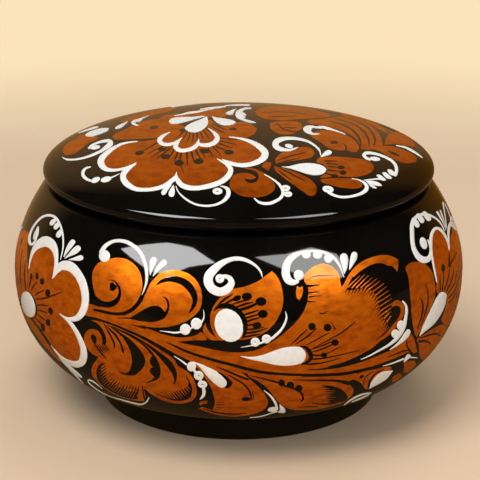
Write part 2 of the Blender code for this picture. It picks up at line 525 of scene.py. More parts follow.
class Ink:
    """All the marks of one colour on one piece, gathered into one closed mesh."""

    def __init__(self, height, turns=(0.0,), dome=DOME):
        self.surface = None
        self.height = height
        self.turns = turns
        self.dome = dome
        self.points = []
        self.faces = []
        self.marks = 0

    def draw(self, surface, fills=(), lines=(), blobs=(), rings=(), combs=()):
        """Marks of each kind on this surface, in the order of the kinds."""
        self.surface = surface
        for outline in fills:
            self.fill(outline)
        for line in lines:
            self.stroke(line)
        for blob in blobs:
            self.dot(*blob)
        for blob in rings:
            self.ring(*blob)
        for guides in combs:
            self.comb(*guides)

    def add(self, spots, lifts, faces):
        """One closed mark on the map, set at each of the turns."""
        for turn in self.turns:
            moved = spots + np.array([turn * BODY_RADIUS, 0.0])
            first = sum(len(block) for block in self.points)
            self.points.append(self.surface.lifted(moved, lifts))
            self.faces.extend([[first + i for i in face] for face in faces])
        self.marks += 1

    def stroke(self, points):
        """A brush line through (x, y, width), rounded across and at its ends."""
        line = curve_through(points, LINE_STEP)
        line = curve_through(points, spacing(self.surface, line, LINE_STEP))
        line[:, 2] = np.maximum(line[:, 2], NARROWEST)
        ahead = np.gradient(line[:, :2], axis=0)
        ahead /= np.maximum(np.linalg.norm(ahead, axis=1, keepdims=True), TINY)
        rows = [(line[i, :2], ahead[i], line[i, 2]) for i in range(len(line))]
        for end, side in ((0, -1), (-1, 1)):
            place, way, width = rows[end]
            caps = []
            for angle in CAP_ANGLES:
                sine, cosine = math.sin(math.radians(angle)), math.cos(math.radians(angle))
                caps.append((place + side * way * sine * width / 2, way, width * cosine))
            rows = list(reversed(caps)) + rows if side < 0 else rows + caps
        pixels = []
        lifts = []
        for place, way, width in rows:
            across = np.array([-way[1], way[0]])
            share = min(1.0, LEAST_SHARE + width / FULL_WIDTH)
            thick = max(self.height * share, THINNEST_STROKE)
            for column in DOME_COLUMNS:
                pixels.append(place + across * column * width / 2)
                lifts.append(thick * (1 - self.dome + self.dome * math.sqrt(1 - column**2)))
        columns = len(DOME_COLUMNS)
        spots = self.surface.seen(np.array(pixels)).reshape(len(rows), columns, 2)
        lifts = np.array(lifts).reshape(len(rows), columns)
        bottom = spots[:, [-1, 0]]
        ring = columns + 2
        spots = np.concatenate([spots, bottom], axis=1).reshape(-1, 2)
        lifts = np.concatenate([lifts, np.full((len(rows), 2), -SINK)], axis=1).ravel()
        faces = []
        for row in range(len(rows) - 1):
            for i in range(ring):
                j = (i + 1) % ring
                a, b = row * ring, (row + 1) * ring
                faces.append([a + i, a + j, b + j, b + i])
        faces.append(list(reversed(range(ring))))
        faces.append([(len(rows) - 1) * ring + i for i in range(ring)])
        self.add(spots, lifts, faces)

    def dot(self, x, y, width, height, tilt):
        """A round or oval blob that stands a little proud, with a slight dimple."""
        pixels = [(x, y)]
        lifts = [self.height * (1 - DOT_DIMPLE * self.dome)]
        for reach, rise in DOT_RINGS + ((1.0, None),):
            for sector in range(DOT_SECTORS):
                angle = 2 * math.pi * sector / DOT_SECTORS
                right = reach * width / 2 * math.cos(angle)
                down = reach * height / 2 * math.sin(angle)
                pixels.append(tilted(x, y, right, down, tilt))
                if rise is None:
                    lifts.append(-SINK)
                else:
                    lifts.append(self.height * (1 - (1 - rise) * self.dome / DOME))
        spots = self.surface.seen(np.array(pixels))
        faces = []
        rings = []
        for first in range(1, len(pixels), DOT_SECTORS):
            rings.append([first + i for i in range(DOT_SECTORS)])
        order = rings[-1:] + rings[:-1]
        for outer, inner in zip(order, order[1:]):
            for i in range(DOT_SECTORS):
                j = (i + 1) % DOT_SECTORS
                faces.append([outer[i], outer[j], inner[j], inner[i]])
        for i in range(DOT_SECTORS):
            faces.append([order[-1][i], order[-1][(i + 1) % DOT_SECTORS], 0])
        faces.append(list(reversed(order[0])))
        self.add(spots, np.array(lifts), faces)

    def ring(self, x, y, width, height, tilt):
        """An oval blob with a small gap left open in its middle."""
        brush = min(width, height) * RING_BRUSH
        points = []
        for step in range(RING_STEPS + RING_OVERLAP):
            angle = 2 * math.pi * step / RING_STEPS
            right = (width - brush) / 2 * math.cos(angle)
            down = (height - brush) / 2 * math.sin(angle)
            points.append((*tilted(x, y, right, down, tilt), brush))
        self.stroke(points)

    def comb(self, first, last, count, wide, fine):
        """Brush lines from one guide line to another."""
        roots = curve_through([(x, y, 0) for x, y in first], GUIDE_STEP)
        tips = curve_through([(x, y, 0) for x, y in last], GUIDE_STEP)
        for step in range(count):
            share = step / (count - 1)
            root = roots[round(share * (len(roots) - 1))]
            tip = tips[round(share * (len(tips) - 1))]
            middle = (root + tip) / 2
            middle_width = wide * ROOT_SHARE + fine * (1 - ROOT_SHARE)
            self.stroke([(*root[:2], wide), (*middle[:2], middle_width), (*tip[:2], fine)])

    def fill(self, outline):
        """A flat patch of paint inside a closed outline of (x, y) points."""
        pixels = smooth_outline(outline, OUTLINE_STEP)
        pixels = smooth_outline(outline, spacing(self.surface, pixels, OUTLINE_STEP))
        edge = self.surface.seen(pixels[:, :2])
        self.patch(edge)

    def patch(self, edge):
        """A flat patch inside a closed outline on the map."""
        kept = [edge[0]]
        for spot in edge[1:]:
            if np.hypot(*(spot - kept[-1])) > EDGE_GAP:
                kept.append(spot)
        edge = np.array(kept)
        low, high = edge.min(axis=0), edge.max(axis=0)
        inner = []
        for row in range(1, int((high[1] - low[1]) / MESH_SPACING) + 1):
            shift = 0.5 * (row % 2)
            for column in range(int((high[0] - low[0]) / MESH_SPACING) + 1):
                spot = low + MESH_SPACING * np.array([column + shift, row])
                if not within(spot, edge):
                    continue
                if np.hypot(*(edge - spot).T).min() > MESH_SPACING * EDGE_SHARE:
                    inner.append(spot)
        spots = [Vector(spot) for spot in list(edge) + inner]
        loop = list(range(len(edge)))
        made = delaunay_2d_cdt(spots, [], [loop], KEEP_INSIDE, TINIEST)
        flat = np.array([list(spot) for spot in made[0]])
        triangles = [list(face) for face in made[2]]
        if not triangles:
            return
        # The rim is made of the sides that only one triangle has
        sides = {}
        for a, b, c in triangles:
            for side in ((a, b), (b, c), (c, a)):
                sides[side] = True
        rim = [side for side in sides if (side[1], side[0]) not in sides]
        count = len(flat)
        faces = triangles + [[i + count for i in reversed(face)] for face in triangles]
        faces += [[b, a, a + count, b + count] for a, b in rim]
        level = self.height + LAYER_RISE * (self.marks % LAYERS)
        lifts = np.concatenate([np.full(count, level), np.full(count, -SINK)])
        self.add(np.concatenate([flat, flat]), lifts, faces)

    def piece(self, name, finish, body):
        """The marks made so far, as one mesh that rides on the body."""
        points = np.concatenate(self.points)
        made = add_piece(name, points, self.faces, finish, body)
        shape = bmesh.new()
        shape.from_mesh(made.data)
        bmesh.ops.recalc_face_normals(shape, faces=shape.faces)
        shape.to_mesh(made.data)
        shape.free()
        return made


def within(spot, outline):
    """True where the spot lies inside the closed outline."""
    x, y = outline[:, 0], outline[:, 1]
    x2, y2 = np.roll(x, -1), np.roll(y, -1)
    spans = (y > spot[1]) != (y2 > spot[1])
    with np.errstate(divide="ignore", invalid="ignore"):
        cross = (x2 - x) * (spot[1] - y) / (y2 - y) + x
    return bool((spans & (spot[0] < cross)).sum() % 2)


# The marks on the bowl, in points of the photograph. A fill is an outline of (x, y), and a line is
# (x, y, width). A blob or a ring is (x, y, width, height, tilt in degrees). A comb is two guide
# lines, the number of lines drawn from one to the other, and their first and last widths.

BOWL_GOLD_FILLS = [
    # The left flower, and its petals at the outline of the bowl
    [(28.5, 268), (30, 259), (34, 250), (40, 244), (47, 242), (53, 246), (56, 254), (56.5, 263),
     (54, 274), (58, 269), (66, 266), (73, 270), (79, 277), (83, 286), (85, 296), (85, 305),
     (83, 312), (79, 317), (73, 319), (66, 318.5), (72, 325), (77, 333), (81, 342), (83, 351),
     (82.5, 358), (79, 363), (73, 363.5), (66, 360), (60, 355), (54, 349), (48, 341), (40, 329),
     (33, 319), (26, 311), (22, 304), (21.5, 296), (24, 290), (27, 284), (28, 276)],
    [(17.5, 290), (16.5, 275), (17.5, 262), (19.5, 250), (22, 241), (25.5, 233.5), (28, 231),
     (28.6, 237), (28.5, 246), (29.5, 252), (28, 262), (27.3, 272), (28, 280), (27, 286),
     (25, 290.5), (22, 294), (20, 300), (19, 297)],
    [(20.5, 304), (24, 310.5), (31, 318.5), (38.5, 327.5), (46, 338.5), (52.5, 348), (58.5, 355.5),
     (66, 361.5), (62, 362.5), (55.5, 357.5), (48, 350), (40, 340.5), (32.5, 329.5), (26, 318.5),
     (21.5, 309)],
    # The two round curls
    [(104, 261), (112, 258.3), (120, 257.8), (127, 259.5), (133, 263.3), (138, 268.5),
     (141, 275.5), (142.3, 283), (141.5, 291), (139, 298), (135, 304), (130, 308.5),
     (123, 311.8), (115, 312.3), (107, 311), (100, 309.5), (94, 309), (93, 313), (88, 313),
     (84.5, 313.5), (86.5, 309), (88.5, 303.5), (94, 305), (99, 306.8), (103, 306.5),
     (101, 302), (97, 298), (94.5, 292), (93, 285), (92.3, 278), (93, 271), (96, 265.5),
     (100, 262)],
    [(122, 316.4), (127.5, 314), (133, 311.2), (139, 305.4), (143.6, 298), (147.3, 290),
     (150.6, 283), (155.5, 277.5), (160, 273.5), (166, 270.8), (173, 269.8), (180, 270.8),
     (187, 273), (193, 277), (198, 283), (201, 290), (202, 297), (201.5, 304), (199, 310.5),
     (195, 315), (190, 319), (184, 322.3), (176, 325), (168, 326.8), (158, 327.6), (148, 326.8),
     (140, 325), (133, 324), (126, 322)],
    # The stem, its upper branch and the large right leaf
    [(84, 311.5), (90, 310.8), (97, 311.6), (105, 313.6), (113, 314.9), (121, 315.2), (128, 316.5),
     (133, 321), (140, 325.4), (145, 327.8), (155, 331.3), (165, 334.8), (175, 337),
     (185, 337.3), (195, 335.5), (201, 331.8), (204, 334.5), (207, 338), (206, 340.3),
     (195, 340.3), (185, 341), (177, 341.6), (185, 343.8), (195, 345.6), (205, 347.8),
     (215, 349.8), (225, 351.6), (235, 352.4), (245, 352), (255, 350.3), (262, 347.6),
     (270, 343.2), (278, 338), (286, 331.5), (294, 324), (300, 317), (304, 310.5), (307, 303),
     (308.3, 295), (308, 288), (304.5, 281), (303.5, 277), (309, 270), (315, 266),
     (322, 263.8), (329, 265), (335, 269), (339, 275), (340.3, 282), (341.5, 287), (344, 283.5),
     (348.5, 275), (354, 268), (360, 262.8), (367, 259), (375, 256.3), (383, 255), (391, 256),
     (398, 259.5), (398.3, 266), (397, 272), (394.5, 268), (391, 265.7), (388, 265.7),
     (384, 263.7), (379, 263), (372, 264.5), (365, 268), (358, 273), (352, 279), (348, 285),
     (346.5, 290), (352, 290), (358, 289), (364, 288.5), (370, 290), (375, 294), (377.5, 299),
     (378.5, 305), (380, 311), (383, 317), (386, 322), (389, 327), (386, 334), (380, 341),
     (372, 348), (364, 352.7), (356, 356.7), (348, 360.3), (340, 363.2), (330, 365.8),
     (322, 369.5), (310, 372), (300, 377), (280, 377), (265, 376), (255, 375), (245, 373),
     (235, 370.5), (225, 367.5), (215, 364.8), (205, 362.9), (197, 361.8), (190, 360.5),
     (184, 358), (176, 354), (168, 349.6), (160, 345), (152, 340.6), (145, 337), (136, 333),
     (127, 329), (118, 325.4), (110, 322.3), (102, 319.5), (95, 317.3), (88, 316), (84, 314.8)],
    # The hook at the right leaf's tip
    [(386, 312), (389, 307), (392, 303), (396, 300.3), (400, 301), (403.3, 304.5), (404.6, 309),
     (403.6, 315), (401, 321), (397, 327), (391, 333), (385, 338), (378, 342), (376, 338),
     (384, 331), (391, 326), (395, 322.3), (398.3, 318), (400.3, 313), (400.8, 309),
     (399, 306.2), (395.5, 305.7), (392, 307.5), (389.5, 311), (387, 314)],
    # The right stem under it
    [(296, 370), (310, 370), (322, 369.8), (332, 369), (342, 367.3), (352, 364.8), (362, 361.8),
     (372, 358), (382, 354), (393, 349), (401, 343.7), (407, 338.5), (411, 333.5), (413.5, 338),
     (415.8, 345), (417, 352), (412, 353.5), (408, 352.3), (402, 355), (393, 358.8),
     (383, 362.7), (372, 366.2), (360, 369), (350, 371), (335, 373), (315, 374.7), (296, 374.6)],
    # The bud in the middle, the flame beside it and the small drop
    [(272, 271), (276, 275), (279.5, 281), (281.8, 288), (283, 295), (283, 303), (281.5, 310),
     (278.5, 317), (274, 324), (268, 330), (260, 335), (250, 338.5), (240, 340), (230, 339),
     (220, 340.5), (215, 335.5), (212, 329.5), (210.3, 323), (210.3, 316), (212, 309.5),
     (215.5, 303), (220.5, 297.5), (227, 292.5), (233, 289), (243, 287), (252, 284), (260, 280),
     (266, 275.5)],
    [(205.5, 323), (206.5, 327), (209, 331), (212, 334.5), (216, 337.5), (219, 340), (212, 340.3),
     (208, 338), (204.5, 334.5), (203, 330), (203.8, 326)],
    [(297, 286), (299.5, 287.5), (302.5, 286), (303, 290), (302, 295), (299.5, 300.5), (297, 298),
     (296, 293)],
    # The pair of leaves low on the left
    [(91, 320), (97, 320.6), (104, 322.6), (112, 325.3), (120, 328.6), (128, 332.3), (136, 335.8),
     (143, 339.4), (150, 343.2), (157, 347.6), (164, 352), (170, 356), (175, 360.5), (178, 366),
     (184, 369.5), (189, 373), (193, 378), (195.5, 384), (196.5, 390), (196, 396), (193, 400),
     (187, 402.5), (179, 403.5), (170, 402.5), (162, 400), (155, 396.5), (149, 392.5),
     (145, 389), (143.5, 388.5), (145.5, 396), (144.8, 400.8), (139, 401), (131, 399.7),
     (122, 397.3), (114, 394), (107, 390), (101, 385.5), (96.5, 381), (93, 377), (91.5, 372),
     (92, 367), (95, 362), (98.5, 357), (93.5, 354.5), (89.5, 351), (86.5, 346), (84.3, 341),
     (84.3, 336), (86.5, 331.5), (90, 329.3), (94, 329.2), (98, 331), (100.8, 335), (102.3, 340),
     (102, 344.5), (105.5, 345), (106.5, 342), (106, 337), (104, 332), (101, 327), (97, 323)],
    # The two leaves low in the middle
    [(196, 357), (205, 359), (215, 362), (225, 365), (235, 369), (243, 373.5), (250, 379.5),
     (256, 384.5), (261, 389.5), (265.5, 395.5), (268, 401), (267, 406), (262, 410.5),
     (254, 413.8), (244, 415.8), (234, 416.6), (224, 416), (214, 413.8), (205, 411),
     (199, 408.5), (202, 407), (208, 409), (213, 410), (214.3, 405), (214.8, 400), (213, 393),
     (210.5, 386.5), (206.5, 380), (201, 372), (196, 366), (190, 361)],
    [(246, 372), (256, 373.5), (270, 375.5), (285, 376.5), (300, 376.8), (315, 376.8),
     (330, 376.3), (345, 375.3), (357, 373), (356, 377.5), (350, 380.5), (345, 382),
     (351.5, 386.5), (353.5, 390.5), (352, 395), (347.5, 399.5), (340, 403.5), (330, 406.5),
     (320, 408.7), (310, 410), (300, 410.3), (292, 409.5), (285, 407), (279.5, 403), (275, 398),
     (270, 391.5), (263.5, 385), (257, 380.5), (250, 377)],
    [(199.5, 402.3), (204, 400.8), (207.5, 401), (207, 403.5), (203, 404), (200, 405.5)],
    [(352, 377), (358, 373.5), (366, 371), (376, 369), (386, 366.5), (392, 367), (390, 370),
     (383, 371.5), (377, 375), (372, 380), (369, 385.5), (368.5, 389), (365, 389),
     (362.5, 385), (358, 381), (353, 379)],
    # The right flower and its leaves
    [(415, 334.5), (413, 326), (411.5, 315), (411, 305), (410, 295), (409.3, 285), (408, 276),
     (405.5, 268), (408, 264.5), (412, 262.3), (417, 261.8), (422, 262.7), (427, 265.5),
     (430.5, 269.5), (433, 275), (434.5, 282), (435.3, 290), (434.8, 297), (432.5, 303),
     (430, 311), (427, 318), (423.5, 326), (419.5, 333), (417, 337)],
    [(431.5, 242), (432.8, 236), (436, 231), (439.5, 230.5), (443, 233.5), (446, 238.5),
     (448, 245), (449, 252), (449.8, 246), (450.3, 239), (452, 232.5), (454.5, 230), (457, 236),
     (459, 248), (461, 260), (461.8, 275), (461.5, 290), (459.5, 302), (456.5, 312), (452, 321),
     (447, 326), (444, 324), (441, 320), (444, 313), (446, 305), (446.5, 297), (444, 291.5),
     (440.5, 291.5), (438, 295), (436, 290), (436.5, 284), (435.5, 277), (434, 268),
     (432.8, 259), (431.8, 250)],
    [(417.5, 338.5), (424, 334.5), (431, 330), (438, 326), (443, 324.5), (447.5, 327), (447, 332),
     (443.5, 339), (438.5, 346), (432.5, 353), (427, 359), (423, 360.5), (420, 357), (419, 350),
     (418.5, 344), (417, 341)],
    [(404, 362.5), (410, 360.5), (415, 361), (415.6, 364.5), (411.3, 369.5), (407.4, 372.6),
     (403, 372.5), (404, 368)],
    [(395, 375.5), (399.5, 373), (402.3, 375.3), (399, 378.6), (395, 381.2), (391.8, 382),
     (392, 378.5)],
]

BOWL_GOLD_COMBS = [
    ([(348, 287), (354, 288), (360, 287.5), (366, 288.5), (372, 291), (376, 296), (378, 303),
      (380, 310), (383, 316), (387, 322)],
     [(360, 275.5), (366, 274.5), (371, 277), (377, 279), (383, 283), (388, 289), (391, 296),
      (392, 303), (391, 309), (391, 316)], 15, 1.5, 0.4),
    ([(151, 388.5), (158, 391), (166, 392), (174, 390.5), (181, 387.5), (186, 384)],
     [(158, 393.5), (167, 397.5), (176, 399), (183, 397), (188, 393.5), (190.5, 390)],
     15, 1.6, 0.5),
    ([(104, 366), (107, 374), (112, 380.5), (120, 385.5), (128, 388.5), (137, 390)],
     [(99, 370), (100.5, 378.5), (104.5, 384.5), (113, 390.5), (122.5, 394.5), (132.5, 397)],
     19, 0.9, 0.4),
]

BOWL_DARK_FILLS = [
    [(110.5, 283), (113, 282), (115, 284.5), (117.5, 286.5), (116, 289), (113, 291), (110, 290),
     (109.8, 286.5)],
    [(130, 317.6), (134, 315.4), (139, 312.4), (144.5, 309.2), (150, 306.6), (155, 305.7),
     (160, 306.8), (163, 309.5), (164.5, 312), (167.5, 311), (166.5, 315), (163, 319),
     (157, 321.3), (150, 322), (142, 321.3), (135, 319.8), (130.5, 318.8)],
    [(117, 330.5), (121, 333), (127, 336.5), (132, 341), (137, 346), (141, 351), (144, 356),
     (145.5, 360.5), (144.5, 365), (142, 369), (139, 372), (135, 374.7), (131, 375.6),
     (127, 375), (122, 373.8), (117.5, 370.5), (121, 372), (126, 373), (129, 371.3), (131, 367),
     (132, 362), (131.5, 356), (130, 350), (127, 344), (124, 339), (120.5, 334.5)],
    [(91, 335), (93.5, 334.3), (95.5, 336), (96.6, 339), (96.3, 342.5), (94.8, 344.8),
     (92.8, 341.5), (91.2, 338.5)],
    [(104, 362.5), (100, 364.5), (97.5, 368), (96.5, 372), (97, 377), (99.3, 382), (103.3, 386.2),
     (109.3, 390.4), (116.6, 394.2), (124.7, 397.2), (133, 399), (138, 399), (136, 392),
     (131, 391.5), (125, 390), (119, 387.5), (113, 384.5), (108, 380.5), (104.5, 376.5),
     (102, 372), (101, 368), (102, 365)],
    [(152.5, 352.5), (155.5, 356.5), (158, 361), (160, 366.5), (160.7, 372), (159.8, 376.5),
     (157, 379.3), (153, 381.2), (148.5, 382.6), (145, 383.2), (148.5, 381.3), (152.5, 379.3),
     (154.8, 376.8), (152.8, 375.4), (150.6, 373), (149.8, 370.3), (151, 368), (153.5, 367.3),
     (151.3, 365), (149.8, 361.5), (150.3, 358.3), (152, 356)],
    [(151, 389.5), (157, 390.5), (163, 392), (170, 393), (176, 391.5), (181, 389.5), (185, 388),
     (188, 385.5), (189, 382), (190.5, 386), (191.8, 391), (191, 396), (187.5, 399),
     (182, 400.6), (175, 400.5), (168, 398.8), (161, 395.8), (155, 392.5)],
    [(217, 371), (222, 373.3), (226, 376), (229.5, 379), (232.8, 383), (230.8, 386),
     (226.5, 388.2), (224, 387), (225.5, 383), (223, 378), (219, 374)],
    [(336, 387), (340, 388.5), (344, 391.5), (347, 395), (347.5, 398.5), (344, 401),
     (338, 402.3), (333, 402), (336, 398), (334, 394), (335.5, 390.5)],
]

